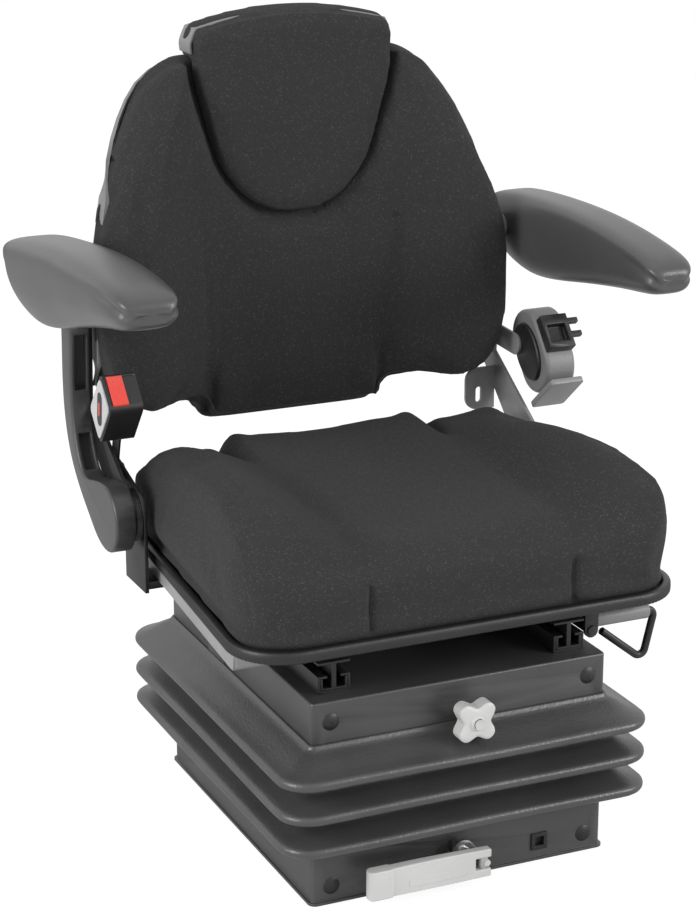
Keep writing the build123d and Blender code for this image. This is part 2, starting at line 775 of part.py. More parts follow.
def back_outline(grow=0.0):
    """The backrest's outline seen from the front, in (X, Z)."""
    bottom = Polyline((0, panel_bottom - grow), (panel_half - 6, panel_bottom - grow),
                      (panel_half + grow, panel_bottom + 8 - grow), (panel_half + 4 + grow, back_bottom - grow),
                      (178, back_bottom - 2 - grow), (206, back_bottom + 7 - grow))
    side = Spline((206, back_bottom + 7 - grow), (232 + grow, 440), (244 + grow, 490), (245 + grow, 548),
                  (237 + grow, 595), (211 + grow, 658), (188 + grow, 710), (160 + grow, 745 + grow),
                  (panel_half + 16, back_top + grow))
    top = Line((panel_half + 16, back_top + grow), (0, back_top + grow))
    half = bottom + side + top
    return make_face(half + mirror(half, about=Plane.YZ))


def back_curve(inset):
    """The rear line of shell or cushion seen from above, from the right edge to the middle."""
    edge = shell_half - inset
    straight = Line((edge, shell_front), (edge, shell_front + shell_edge))
    bow = Spline((edge, shell_front + shell_edge), (edge - 22, shell_front + shell_edge + 30 - inset / 2),
                 (0, back_rear + 5 - inset), tangents=((0, 1), (-1, 0)))
    return straight + bow


def back_cushion():
    inset = shell_wall + soft_gap
    front = Spline((0, back_front), (90, back_front - 2), (140, back_front - 22), (190, back_front - 47),
                   (226, back_front - 52), (246, back_front - 36), tangents=((1, 0), (0.3, 1)))
    edge = Polyline((246, back_front - 36), (240, back_front - 19), (shell_half - inset, shell_front))
    half = front + edge + back_curve(inset)
    plan = make_face(half + mirror(half, about=Plane.YZ))
    body = extrude(Pos(0, 0, panel_bottom - 10) * plan, back_top - panel_bottom + 20, dir=(0, 0, 1))
    body &= from_front(back_outline(), 0, 2 * back_rear)
    body -= from_front(tongue_outline(extension_gap), 0, tongue_back + extension_gap)
    for x in (-guide_x, guide_x):
        body -= rod_z(x, guide_y, sleeve_radius + soft_gap, sleeve_bottom - soft_gap, back_top + 1)
        body -= rod_z(x, guide_y, guide_radius + 1, guide_bottom - 3, sleeve_bottom + 1)
    return body


def back_shell():
    """The moulded rear shell: a bowed strip of even thickness, cut to the backrest's outline."""
    edge = Line((shell_half, shell_front), (shell_half - shell_wall, shell_front))
    middle = Line((0, back_rear + 5 - shell_wall), (0, back_rear + 5))
    strip = make_face(back_curve(0) + edge + back_curve(shell_wall) + middle)
    half = extrude(Pos(0, 0, panel_bottom - 10) * strip, back_top - panel_bottom + 20, dir=(0, 0, 1))
    half &= from_front(back_outline(3), 0, 2 * back_rear)
    for z in shell_screw_z:
        half -= Pos(shell_half, column_y, z) * Rot(0, 90, 0) * Cylinder(screw_radius + run_gap, 24)
    return half + mirrored(half)


def back_screws():
    """Shouldered screws through the side plates into the shell's edges."""
    screws = []
    for z in shell_screw_z:
        rod = rod_x(column_y, z, screw_radius, shell_half - shell_wall + soft_gap, side_plate_x + plate)
        rod += rod_x(column_y, z, screw_radius + 3, shell_half + soft_gap, side_plate_x)
        screws += both_sides(rod)
    return screws


def tongue_outline(grow=0.0):
    """The U-shaped tongue of the extension, in (X, Z)."""
    top = back_top + 4
    wide = extension_half + grow
    side = Spline((0, tongue_bottom - grow), (34, tongue_bottom + 4 - grow), (62 + grow, tongue_bottom + 22),
                  (88 + grow, tongue_bottom + 58), (103 + grow, tongue_bottom + 100), (wide, tongue_bottom + 150),
                  (wide, top))
    half = side + Line((wide, top), (0, top))
    return make_face(half + mirror(half, about=Plane.YZ))


def head_outline(grow=0.0):
    wide = extension_half + grow
    low = back_top + 3 + extension_gap
    arch = ThreePointArc((0, extension_top + grow), (wide * 0.55, extension_top - 5 + grow), (wide - 6, 803 + grow))
    side = Spline((wide - 6, 803 + grow), (wide, 790), (wide, low))
    half = arch + side + Line((wide, low), (0, low))
    return make_face(half + mirror(half, about=Plane.YZ))


def extension_cushion():
    tongue = from_front(tongue_outline(), tongue_front, tongue_back)
    head = from_front(head_outline(), tongue_front, extension_rear)
    body = tongue + head
    for x in (-guide_x, guide_x):
        body -= rod_z(x, guide_y, guide_radius, back_top, guide_top)
    return body


def extension_shell():
    outer = from_front(head_outline(shell_wall), tongue_front + 18, extension_rear + shell_wall)
    return outer - from_front(head_outline(soft_gap), 0, extension_rear + soft_gap)


def guide_rods():
    return [rod_z(x, guide_y, guide_radius, guide_bottom, guide_top) for x in (-guide_x, guide_x)]


def guide_sleeves():
    sleeves = []
    for x in (-guide_x, guide_x):
        sleeve = rod_z(x, guide_y, sleeve_radius, sleeve_bottom, back_top)
        sleeves.append(sleeve - rod_z(x, guide_y, guide_radius + run_gap, sleeve_bottom - 1, back_top + 1))
    return sleeves


def armrest(pin_z, tilt):
    """A moulded armrest for the right side: a deep rear skirt that tapers to a thin front."""
    front, rear = -armrest_reach, 26.0
    rise = armrest_rise
    profile = polygon((rear, rise), (rear, rise - 22), (rear - 8, rise - 24), (rear - 12, -armrest_skirt),
                      (-44, -armrest_skirt), (-200, -12), (front, rise - armrest_front), (front, rise))
    profile = rounded(profile, [(rear, rise, 9), (rear - 12, -armrest_skirt, 26), (-44, -armrest_skirt, 30),
                                (-200, -12, 90), (front, rise - armrest_front, 12), (front, rise, 14)])
    width = armrest_width
    plan = polygon((0, rear + 1), (width, rear + 1), (width + 3, front * 0.5), (width, front), (6, front),
                   (0, front * 0.5))
    plan = rounded(plan, [(0, rear + 1, 8), (width, rear + 1, 8), (width, front, 20), (6, front, 16)])
    body = extrude(Pos(0, 0, -100) * plan, 200)
    side = Plane(origin=(-10, 0, 0), x_dir=(0, 1, 0), z_dir=(1, 0, 0)) * profile
    body &= extrude(side, width + 20)
    body = fillet(body.faces().sort_by(Axis.Z)[-1].edges(), armrest_round)
    body -= Pos((pin_reach + 1) / 2, 0, 0) * Rot(0, 90, 0) * Cylinder(armrest_pin + run_gap, pin_reach + 1)
    return Pos(armrest_inner, armrest_y, pin_z) * Rot(-tilt, 0, 0) * body


def buckle_frame(shape):
    """Put a shape made about the origin into the leaning frame of the buckle."""
    return Pos(buckle_x, buckle_y, buckle_z) * Rot(buckle_lean, 0, 0) * shape


def buckle_case():
    body = Box(buckle_width, buckle_depth, buckle_length)
    body = fillet(body.edges().filter_by(Axis.X), 7)
    button = (-buckle_width / 2 + buckle_wall, -buckle_width / 2 + buckle_wall + button_wide)
    body -= block(button, (-button_long / 2, button_long / 2), (buckle_length / 2 - button_deep, buckle_length))
    slot_x = buckle_width / 2 - 9
    body -= block((slot_x, slot_x + tongue_slot), (-16, 16), (buckle_length / 2 - 30, buckle_length))
    strap = stalk_thick / 2 + run_gap
    strap_x = strap_middle - buckle_x
    body -= block((strap_x - strap, strap_x + strap), (-stalk_width / 2 - run_gap, stalk_width / 2 + run_gap),
                  (-buckle_length, -buckle_length / 2 + 12))
    return buckle_frame(body)


def buckle_button():
    gap = 0.25
    x = (-buckle_width / 2 + buckle_wall + gap, -buckle_width / 2 + buckle_wall + button_wide - gap)
    top = buckle_length / 2 + 1.5
    body = block(x, (-button_long / 2 + gap, button_long / 2 - gap), (top - button_deep + button_travel + 2, top))
    return buckle_frame(fillet(body.edges().group_by(Axis.Z)[-1], 0.8))


def buckle_plate():
    x = -buckle_width / 2
    face = block((x - 2, x), (-buckle_depth / 2 + 2, buckle_depth / 2 - 2), (-buckle_length / 2 + 2,
                                                                           buckle_length / 2 - 2))
    face = fillet(face.edges().filter_by(Axis.X), 6)
    window = Plane(origin=(x - 3, 0, 2), x_dir=(0, 0, 1), z_dir=(1, 0, 0)) * SlotOverall(30, 9)
    return buckle_frame(face - extrude(window, 4))


def buckle_stalk():
    bottom = -buckle_length / 2 + 11.9
    low = -hypot(anchor_y - buckle_y, anchor_z - buckle_z)
    face = Pos(0, (bottom + low) / 2) * Rectangle(stalk_width, bottom - low) + Pos(0, low) * Circle(stalk_end)
    face -= Pos(0, low) * Circle(anchor_bolt + run_gap)
    x = strap_middle - buckle_x - stalk_thick / 2
    return buckle_frame(from_side(face, x, x + stalk_thick))


def anchor_bolt_part():
    """The bolt that the buckle's stalk turns on, in the left bracket."""
    inner = bracket_x - 3.5
    outer = bracket_x + plate + soft_gap + stalk_thick + 0.2
    bolt = rod_x(anchor_y, anchor_z, anchor_bolt, inner, outer + 1.6)
    bolt += rod_x(anchor_y, anchor_z, anchor_bolt + 3.5, inner, bracket_x)
    return mirrored(bolt + rod_x(anchor_y, anchor_z, anchor_bolt + 3.5, outer, outer + 1.8))


def retractor_frame(shape):
    middle = side_plate_x + plate + retractor_plate + retractor_width / 2
    return Pos(middle, retractor_y, retractor_z) * Rot(-retractor_lean, 0, 0) * shape


def retractor_case():
    half = retractor_width / 2
    profile = SlotOverall(retractor_long, retractor_tall)
    plane = Plane(origin=(-half + 4, 0, 0), x_dir=(0, 0, 1), z_dir=(1, 0, 0))
    body = extrude(plane * profile, retractor_width - 8)
    body = fillet(body.faces().sort_by(Axis.X)[0].edges() + body.faces().sort_by(Axis.X)[-1].edges(), 5)
    return retractor_frame(body)


def retractor_cover():
    half = retractor_width / 2
    plane = Plane(origin=(-half, 0, 0), x_dir=(0, 0, 1), z_dir=(1, 0, 0))
    body = extrude(plane * Ellipse(retractor_long / 2 - 14, retractor_tall / 2 - 8), 4)
    return retractor_frame(chamfer(body.faces().sort_by(Axis.X)[0].edges(), 1.5))


def retractor_foot():
    """The folded steel foot that closes the retractor's lower end."""
    half = retractor_width / 2
    z = -retractor_long / 2
    foot = block((-half + 2, half - 2), (-retractor_tall / 2 + 2, retractor_tall / 2 - 2), (z - 7, z - 0.5))
    return retractor_frame(fillet(foot.edges().filter_by(Axis.Z), 4))


def belt_guide():
    """The black frame the belt runs through, with two prongs at its end."""
    half = retractor_width / 2 - 6
    y_near = -retractor_tall / 2
    frame = block((-half, half), (y_near - 12, y_near), (-18, 22))
    frame -= block((-half + 5, half - 5), (y_near - 13, y_near - 4), (-10, 10))
    for z in (-6, 10):
        frame += block((half - 1, half + 12), (y_near - 12, y_near - 5), (z, z + 6))
    return retractor_frame(frame)


def retractor_bracket():
    start = side_plate_x + plate
    y_low, z_low = retractor_y + 22, retractor_z + 4
    face = make_hull((Pos(armrest_y, retractor_z + 6) * Circle(12) + Pos(y_low, z_low) * Circle(12)).edges())
    face -= Pos(armrest_y, retractor_z + 6) * Circle(4 + run_gap)
    return from_side(face, start, start + retractor_plate)


def retractor_bolt():
    start = side_plate_x + plate
    bolt = rod_x(armrest_y, retractor_z + 6, 4, start - plate / 2, start + plate + 3)
    head = from_side(Pos(armrest_y, retractor_z + 6) * RegularPolygon(8, 6), start + retractor_plate, start + plate + 5)
    return bolt + head


def main():
    os.makedirs("parts", exist_ok=True)
    save("lower_housing", lower_housing() + hinge_plates(lower_pivot_z, sheet) + [spindle_bearing()]
         + roller_tracks(lower_pivot_z))
    save("lower_plugs", housing_plugs(lower_cap_z))
    save("weight_indicator", indicator())
    save("lower_hinge_shaft", hinge_shaft(lower_pivot_z))
    save("rubber_buffers", rubber_buffers())
    save("damper_tube", damper_tube() + spring_seat_ring(sheet, damper_radius - 1))
    save("suspension_spring", coil_spring())
    save("bellows", bellows())
    ring = spring_seat_ring(ceiling - seat_ring, damper_rod)
    save("upper_housing", upper_housing() + hinge_plates(upper_pivot_z, ceiling) + [height_bearing(), ring]
         + roller_tracks(upper_pivot_z))
    save("upper_plugs", housing_plugs(upper_cap_z))
    save("upper_hinge_shaft", hinge_shaft(upper_pivot_z))
    save("damper_piston", damper_piston())
    save("scissor_outer_arms", scissor_arm(outer_arm_x, True, centre_bolt + run_gap))
    save("scissor_inner_arms", scissor_arm(inner_arm_x, False, centre_bolt + centre_play))
    save("scissor_centre_bolts", centre_bolts())
    save("upper_rollers", rollers(upper_pivot_z))
    save("lower_rollers", rollers(lower_pivot_z))
    save("height_knob", height_knob())
    save("height_knob_button", rod_y(0, knob_z, knob_button, knob_front - 1.5, knob_front + 4))
    save("height_spindle", rod_y(0, knob_z, spindle_radius, knob_front + 4, height_spindle_end))
    save("crank_hub", crank_hub())
    save("crank_spindle", rod_y(hub_x, spindle_z, spindle_radius, crank_back + crank_gap - 3, spindle_end))
    save("crank_arm", crank_arm())
    save("crank_pin", rod_z(fold_x, fold_y, fold_pin, crank_z - crank_height / 2, crank_z + crank_height / 2))
    save("lower_rails", both_sides(lower_rail()))
    save("upper_rails", both_sides(upper_rail()))
    save("seat_frame", seat_frame())
    save("seat_pan", seat_pan())
    save("pan_trim", pan_trim())
    save("seat_cushion", seat_cushion())
    save("slide_lever", slide_lever())
    save("slide_lever_grip", lever_grip_sleeve())
    save("left_bracket", mirrored(recliner_bracket(True) + recliner_mechanism()))
    save("right_bracket", recliner_bracket(False) + recliner_mechanism())
    left_bolt = mirrored(recline_pivot_bolt(side_plate_x + plate))
    save("recline_bolts", [left_bolt, recline_pivot_bolt(side_plate_x + 2 * plate + 1)])
    save("recline_lever", recline_lever())
    save("recline_lever_grip", recline_grip())
    save("left_side_plate", mirrored(side_plate(left_pin_z, cover_holes)))
    bracket_hole = [(armrest_y, retractor_z + 6, 4.0)]
    save("right_side_plate", side_plate(right_pin_z, bracket_hole) + right_lug())
    save("left_side_cover", left_side_cover())
    save("back_screws", back_screws() + cover_screws() + [retractor_bolt()])
    save("backrest_shell", back_shell())
    save("backrest_cushion", back_cushion())
    save("guide_sleeves", guide_sleeves())
    save("extension_cushion", extension_cushion())
    save("extension_shell", extension_shell())
    save("extension_guide_rods", guide_rods())
    save("left_armrest", mirrored(armrest(left_pin_z, left_tilt)))
    save("right_armrest", armrest(right_pin_z, right_tilt))
    save("buckle_case", buckle_case())
    save("buckle_button", buckle_button())
    save("buckle_side_plate", buckle_plate())
    save("buckle_stalk", buckle_stalk())
    save("buckle_anchor_bolt", anchor_bolt_part())
    save("retractor_case", retractor_case())
    save("retractor_cover", retractor_cover())
    save("retractor_foot", retractor_foot())
    save("belt_guide", belt_guide())
    save("retractor_bracket", retractor_bracket())


main()
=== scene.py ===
import bpy, bmesh, json, math
from mathutils import Vector, Matrix


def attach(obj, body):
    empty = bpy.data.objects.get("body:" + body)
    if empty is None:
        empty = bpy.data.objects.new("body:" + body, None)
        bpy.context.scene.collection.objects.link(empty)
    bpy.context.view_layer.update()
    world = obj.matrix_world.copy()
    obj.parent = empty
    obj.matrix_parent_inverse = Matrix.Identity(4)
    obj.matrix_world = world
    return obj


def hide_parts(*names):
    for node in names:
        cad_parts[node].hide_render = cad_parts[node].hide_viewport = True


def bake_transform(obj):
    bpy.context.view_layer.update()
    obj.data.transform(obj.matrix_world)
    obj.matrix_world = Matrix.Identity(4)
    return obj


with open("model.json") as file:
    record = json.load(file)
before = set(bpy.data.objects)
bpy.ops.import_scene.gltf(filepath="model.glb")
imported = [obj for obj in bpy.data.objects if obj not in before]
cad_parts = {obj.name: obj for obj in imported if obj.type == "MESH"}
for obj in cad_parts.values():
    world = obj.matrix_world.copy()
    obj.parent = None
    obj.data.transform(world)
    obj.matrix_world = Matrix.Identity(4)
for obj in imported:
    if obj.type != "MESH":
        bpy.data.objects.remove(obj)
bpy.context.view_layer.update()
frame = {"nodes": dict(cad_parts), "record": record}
nodes = frame["nodes"]
bodyOf = {n: body for body, members in frame["record"]["behaviour"]["bodies"].items() for n in members}
slotOf = {s["node"]: s["material_slot"] for s in frame["record"]["subparts"]}
scene = bpy.context.scene
mm = 0.001
print("frame loaded:", len(nodes), "nodes")

# Studio: camera, lamps, sky and floor
cameraLook = {
    "place": (-1.0261, -2.1947, 1.1537),
    "towards": (0.3917, 0.8689, -0.3025),
    "lens": 98.9,
}
camera = bpy.data.objects.new("studioCamera", bpy.data.cameras.new("studioCamera"))
scene.collection.objects.link(camera)
camera.location = cameraLook["place"]
camera.rotation_euler = Vector(cameraLook["towards"]).to_track_quat("-Z", "Y").to_euler()
camera.data.lens = cameraLook["lens"]
camera.data.clip_end = 60
scene.camera = camera
scene.view_settings.view_transform = "Standard"

lampLook = {
    "sideSoftbox": {"place": (-2.6, -0.5, 1.5), "aim": (0, 0, 0.35), "size": 1.6, "watts": 54},
    "frontSpot": {"place": (2.3, -2.3, 1.7), "aim": (0, -0.1, 0.3), "size": 1.7, "watts": 64},
    "topSoftbox": {"place": (0.2, 0.3, 2.8), "aim": (0, 0, 0.3), "size": 1.8, "watts": 3},
}
for name, lamp in lampLook.items():
    light = bpy.data.lights.new(name, "AREA")
    light.shape, light.size, light.energy = "DISK", lamp["size"], lamp["watts"]
    holder = bpy.data.objects.new(name, light)
    scene.collection.objects.link(holder)
    holder.location = lamp["place"]
    holder.rotation_euler = (Vector(lamp["aim"]) - Vector(lamp["place"])).to_track_quat("-Z", "Y").to_euler()

worldLook = {"ambient": 0.49, "seen": 1.0}  # the sky's strength on matt surfaces, and where it is seen or mirrored
world = bpy.data.worlds.new("studio")
scene.world = world
world.use_nodes = True
wt = world.node_tree
sky = wt.nodes["Background"]
path = wt.nodes.new("ShaderNodeLightPath")
both = wt.nodes.new("ShaderNodeMath")
allRays = wt.nodes.new("ShaderNodeMath")
both.operation = allRays.operation = "MAXIMUM"
level = wt.nodes.new("ShaderNodeMapRange")
level.inputs["To Min"].default_value = worldLook["ambient"]
level.inputs["To Max"].default_value = worldLook["seen"]
wt.links.new(path.outputs["Is Camera Ray"], both.inputs[0])
wt.links.new(path.outputs["Is Glossy Ray"], both.inputs[1])
wt.links.new(both.outputs[0], allRays.inputs[0])
wt.links.new(path.outputs["Is Transmission Ray"], allRays.inputs[1])
wt.links.new(allRays.outputs[0], level.inputs["Value"])
wt.links.new(level.outputs[0], sky.inputs["Strength"])
sky.inputs["Color"].default_value = (1, 1, 1, 1)

floorLook = {"half": 25, "under": 0.0006, "matte": 0.86, "glow": 1.17, "glowShare": 0.78}  # glows for the camera only
floorMesh = bpy.data.meshes.new("studioFloor")
bm = bmesh.new()
bmesh.ops.create_grid(bm, x_segments=1, y_segments=1, size=floorLook["half"])
bmesh.ops.translate(bm, verts=bm.verts, vec=(0, 0, -floorLook["under"]))
bm.to_mesh(floorMesh)
bm.free()
floor = bpy.data.objects.new("studioFloor", floorMesh)
scene.collection.objects.link(floor)
floorPaint = bpy.data.materials.new("studioFloor")
floorPaint.use_nodes = True
ft = floorPaint.node_tree
ft.nodes.clear()
matte = ft.nodes.new("ShaderNodeBsdfDiffuse")
matte.inputs["Color"].default_value = (floorLook["matte"],) * 3 + (1,)
glow = ft.nodes.new("ShaderNodeEmission")
glow.inputs["Strength"].default_value = floorLook["glow"]
share = ft.nodes.new("ShaderNodeMixShader")
seen = ft.nodes.new("ShaderNodeLightPath")
part = ft.nodes.new("ShaderNodeMath")
part.operation = "MULTIPLY"
part.inputs[1].default_value = floorLook["glowShare"]
end = ft.nodes.new("ShaderNodeOutputMaterial")
ft.links.new(seen.outputs["Is Camera Ray"], part.inputs[0])
ft.links.new(part.outputs[0], share.inputs["Fac"])
ft.links.new(matte.outputs[0], share.inputs[1])
ft.links.new(glow.outputs[0], share.inputs[2])
ft.links.new(share.outputs[0], end.inputs["Surface"])
floorMesh.materials.append(floorPaint)
print("studio set")


# Materials
def blank(name):
    mat = bpy.data.materials.new(name)
    mat.use_nodes = True
    tree = mat.node_tree
    where = tree.nodes.new("ShaderNodeTexCoord").outputs["Object"]
    return mat, tree, tree.nodes["Principled BSDF"], where


def addNode(tree, kind, **values):
    node = tree.nodes.new(kind)
    for key, value in values.items():
        if hasattr(node, key):
            setattr(node, key, value)
        else:
            node.inputs[key].default_value = value
    return node


def grey(level, tint=(1.0, 1.0, 1.0)):
    return (level * tint[0], level * tint[1], level * tint[2], 1)


def edgeMask(tree, radius, low, high):  # 1 on convex and concave edges, 0 on open faces
    soft = addNode(tree, "ShaderNodeBevel", samples=4, Radius=radius)
    true = addNode(tree, "ShaderNodeNewGeometry")
    dot = addNode(tree, "ShaderNodeVectorMath", operation="DOT_PRODUCT")
    tree.links.new(soft.outputs[0], dot.inputs[0])
    tree.links.new(true.outputs["Normal"], dot.inputs[1])
    span = addNode(tree, "ShaderNodeMapRange")
    span.inputs["From Min"].default_value = high
    span.inputs["From Max"].default_value = low
    tree.links.new(dot.outputs["Value"], span.inputs["Value"])
    return span.outputs[0]


# lighter colour on convex and concave edges: partly paint wear, partly a painted edge highlight
wearAndHighlightLook = {"radius": 0.0012, "low": 0.75, "high": 0.985, "patchScale": 90, "share": 1.2}


def moulded(name, look):  # painted sheet, plastic, rubber or cast skin, from one dictionary
    mat, tree, shader, where = blank(name)
    broad = addNode(tree, "ShaderNodeTexNoise", Scale=look.get("cloudScale", 14), Detail=4)
    fine = addNode(tree, "ShaderNodeTexNoise", Scale=look["grainScale"], Detail=3, Roughness=0.6)
    cells = addNode(tree, "ShaderNodeTexVoronoi", Scale=look["grainScale"] * 0.8, feature="SMOOTH_F1")
    for texture in (broad, fine, cells):
        tree.links.new(where, texture.inputs["Vector"])
    shade = addNode(tree, "ShaderNodeMix", data_type="RGBA")
    shade.inputs[6].default_value = look["colour"]
    shade.inputs[7].default_value = look["second"]
    cloud = addNode(tree, "ShaderNodeMapRange")
    cloud.inputs["From Min"].default_value, cloud.inputs["From Max"].default_value = 0.35, 0.7
    tree.links.new(broad.outputs["Fac"], cloud.inputs["Value"])
    tree.links.new(cloud.outputs[0], shade.inputs[0])
    colour = shade.outputs[2]
    rough = addNode(tree, "ShaderNodeMapRange")
    rough.inputs["To Min"].default_value = look["rough"] - look.get("roughSpread", 0.06)
    rough.inputs["To Max"].default_value = look["rough"] + look.get("roughSpread", 0.06)
    tree.links.new(fine.outputs["Fac"], rough.inputs["Value"])
    # edges lightened in patches: partly wear, partly a painted highlight
    if "wear" in look:
        mask = edgeMask(tree, look.get("wearAndHighlightRadius", wearAndHighlightLook["radius"]), wearAndHighlightLook["low"], wearAndHighlightLook["high"])
        patch = addNode(tree, "ShaderNodeMath", operation="MULTIPLY")
        uneven = addNode(tree, "ShaderNodeTexNoise", Scale=wearAndHighlightLook["patchScale"], Detail=5)
        tree.links.new(where, uneven.inputs["Vector"])
        tree.links.new(mask, patch.inputs[0])
        tree.links.new(uneven.outputs["Fac"], patch.inputs[1])
        strong = addNode(tree, "ShaderNodeMath", operation="MULTIPLY", use_clamp=True)
        strong.inputs[1].default_value = look.get("wearAndHighlightShare", wearAndHighlightLook["share"])
        tree.links.new(patch.outputs[0], strong.inputs[0])
        wornAndHighlit = addNode(tree, "ShaderNodeMix", data_type="RGBA")
        wornAndHighlit.inputs[7].default_value = look["wear"]
        tree.links.new(strong.outputs[0], wornAndHighlit.inputs[0])
        tree.links.new(colour, wornAndHighlit.inputs[6])
        colour = wornAndHighlit.outputs[2]
    tree.links.new(colour, shader.inputs["Base Color"])
    tree.links.new(rough.outputs[0], shader.inputs["Roughness"])
    height = addNode(tree, "ShaderNodeMath", operation="ADD")
    tree.links.new(fine.outputs["Fac"], height.inputs[0])
    tree.links.new(cells.outputs["Distance"], height.inputs[1])
    bump = addNode(tree, "ShaderNodeBump", Strength=look["grainDepth"], Distance=0.0004)
    tree.links.new(height.outputs[0], bump.inputs["Height"])
    tree.links.new(bump.outputs[0], shader.inputs["Normal"])
    shader.inputs["Metallic"].default_value = look.get("metal", 0)
    shader.inputs["Coat Weight"].default_value = look.get("coat", 0)
    shader.inputs["Specular IOR Level"].default_value = look.get("gloss", 0.5)
    return mat


def clothFabric(name, look):  # flat woven seat cloth with pale flecks, the same from every side
    mat, tree, shader, where = blank(name)
    normal = addNode(tree, "ShaderNodeNewGeometry")
    split = addNode(tree, "ShaderNodeSeparateXYZ")
    facing = addNode(tree, "ShaderNodeSeparateXYZ")
    tree.links.new(where, split.inputs[0])
    tree.links.new(normal.outputs["Normal"], facing.inputs[0])
    waves = []
    for axis in range(3):
        turn = addNode(tree, "ShaderNodeMath", operation="MULTIPLY")
        turn.inputs[1].default_value = math.pi / look["thread"]
        tree.links.new(split.outputs[axis], turn.inputs[0])
        sine = addNode(tree, "ShaderNodeMath", operation="SINE")
        tree.links.new(turn.outputs[0], sine.inputs[0])
        waves.append(sine.outputs[0])
    total = None
    for a, b, c in ((0, 1, 2), (0, 2, 1), (1, 2, 0)):
        cross = addNode(tree, "ShaderNodeMath", operation="MULTIPLY")
        tree.links.new(waves[a], cross.inputs[0])
        tree.links.new(waves[b], cross.inputs[1])
        weight = addNode(tree, "ShaderNodeMath", operation="MULTIPLY")
        tree.links.new(facing.outputs[c], weight.inputs[0])
        tree.links.new(facing.outputs[c], weight.inputs[1])
        part = addNode(tree, "ShaderNodeMath", operation="MULTIPLY")
        tree.links.new(cross.outputs[0], part.inputs[0])
        tree.links.new(weight.outputs[0], part.inputs[1])
        if total is None:
            total = part.outputs[0]
        else:
            add = addNode(tree, "ShaderNodeMath", operation="ADD")
            tree.links.new(total, add.inputs[0])
            tree.links.new(part.outputs[0], add.inputs[1])
            total = add.outputs[0]
    fuzz = addNode(tree, "ShaderNodeTexNoise", Scale=look["fuzzScale"], Detail=5, Roughness=0.7)
    fleck = addNode(tree, "ShaderNodeTexVoronoi", Scale=look["fleckScale"])
    broad = addNode(tree, "ShaderNodeTexNoise", Scale=9, Detail=3)
    for texture in (fuzz, fleck, broad):
        tree.links.new(where, texture.inputs["Vector"])
    base = addNode(tree, "ShaderNodeMix", data_type="RGBA")
    base.inputs[6].default_value, base.inputs[7].default_value = look["colour"], look["second"]
    spread = addNode(tree, "ShaderNodeMapRange")
    spread.inputs["From Min"].default_value, spread.inputs["From Max"].default_value = 0.3, 0.72
    tree.links.new(fuzz.outputs["Fac"], spread.inputs["Value"])
    tree.links.new(spread.outputs[0], base.inputs[0])
    pick = addNode(tree, "ShaderNodeSeparateColor")
    tree.links.new(fleck.outputs["Color"], pick.inputs[0])
    rare = addNode(tree, "ShaderNodeMapRange")
    rare.inputs["From Min"].default_value, rare.inputs["From Max"].default_value = 1 - look["fleckShare"], 1.0
    tree.links.new(pick.outputs[0], rare.inputs["Value"])
    flecked = addNode(tree, "ShaderNodeMix", data_type="RGBA")
    flecked.inputs[7].default_value = look["fleck"]
    tree.links.new(rare.outputs[0], flecked.inputs[0])
    tree.links.new(base.outputs[2], flecked.inputs[6])
    mottle = addNode(tree, "ShaderNodeMix", data_type="RGBA", blend_type="MULTIPLY")
    mottle.inputs[0].default_value = 0.35
    tone = addNode(tree, "ShaderNodeMapRange")
    tone.inputs["To Min"].default_value, tone.inputs["To Max"].default_value = 0.75, 1.15
    tree.links.new(broad.outputs["Fac"], tone.inputs["Value"])
    tree.links.new(flecked.outputs[2], mottle.inputs[6])
    tree.links.new(tone.outputs[0], mottle.inputs[7])
    tree.links.new(mottle.outputs[2], shader.inputs["Base Color"])
    height = addNode(tree, "ShaderNodeMath", operation="MULTIPLY_ADD")
    tree.links.new(fuzz.outputs["Fac"], height.inputs[0])
    height.inputs[1].default_value = 1.3
    tree.links.new(total, height.inputs[2])
    bump = addNode(tree, "ShaderNodeBump", Strength=look["depth"], Distance=0.0005)
    tree.links.new(height.outputs[0], bump.inputs["Height"])
    tree.links.new(bump.outputs[0], shader.inputs["Normal"])
    shader.inputs["Roughness"].default_value = 0.95
    shader.inputs["Specular IOR Level"].default_value = 0.2
    shader.inputs["Sheen Weight"].default_value = look["sheen"]
    shader.inputs["Sheen Roughness"].default_value = 0.5
    shader.inputs["Sheen Tint"].default_value = (0.8, 0.8, 0.82, 1)
    return mat


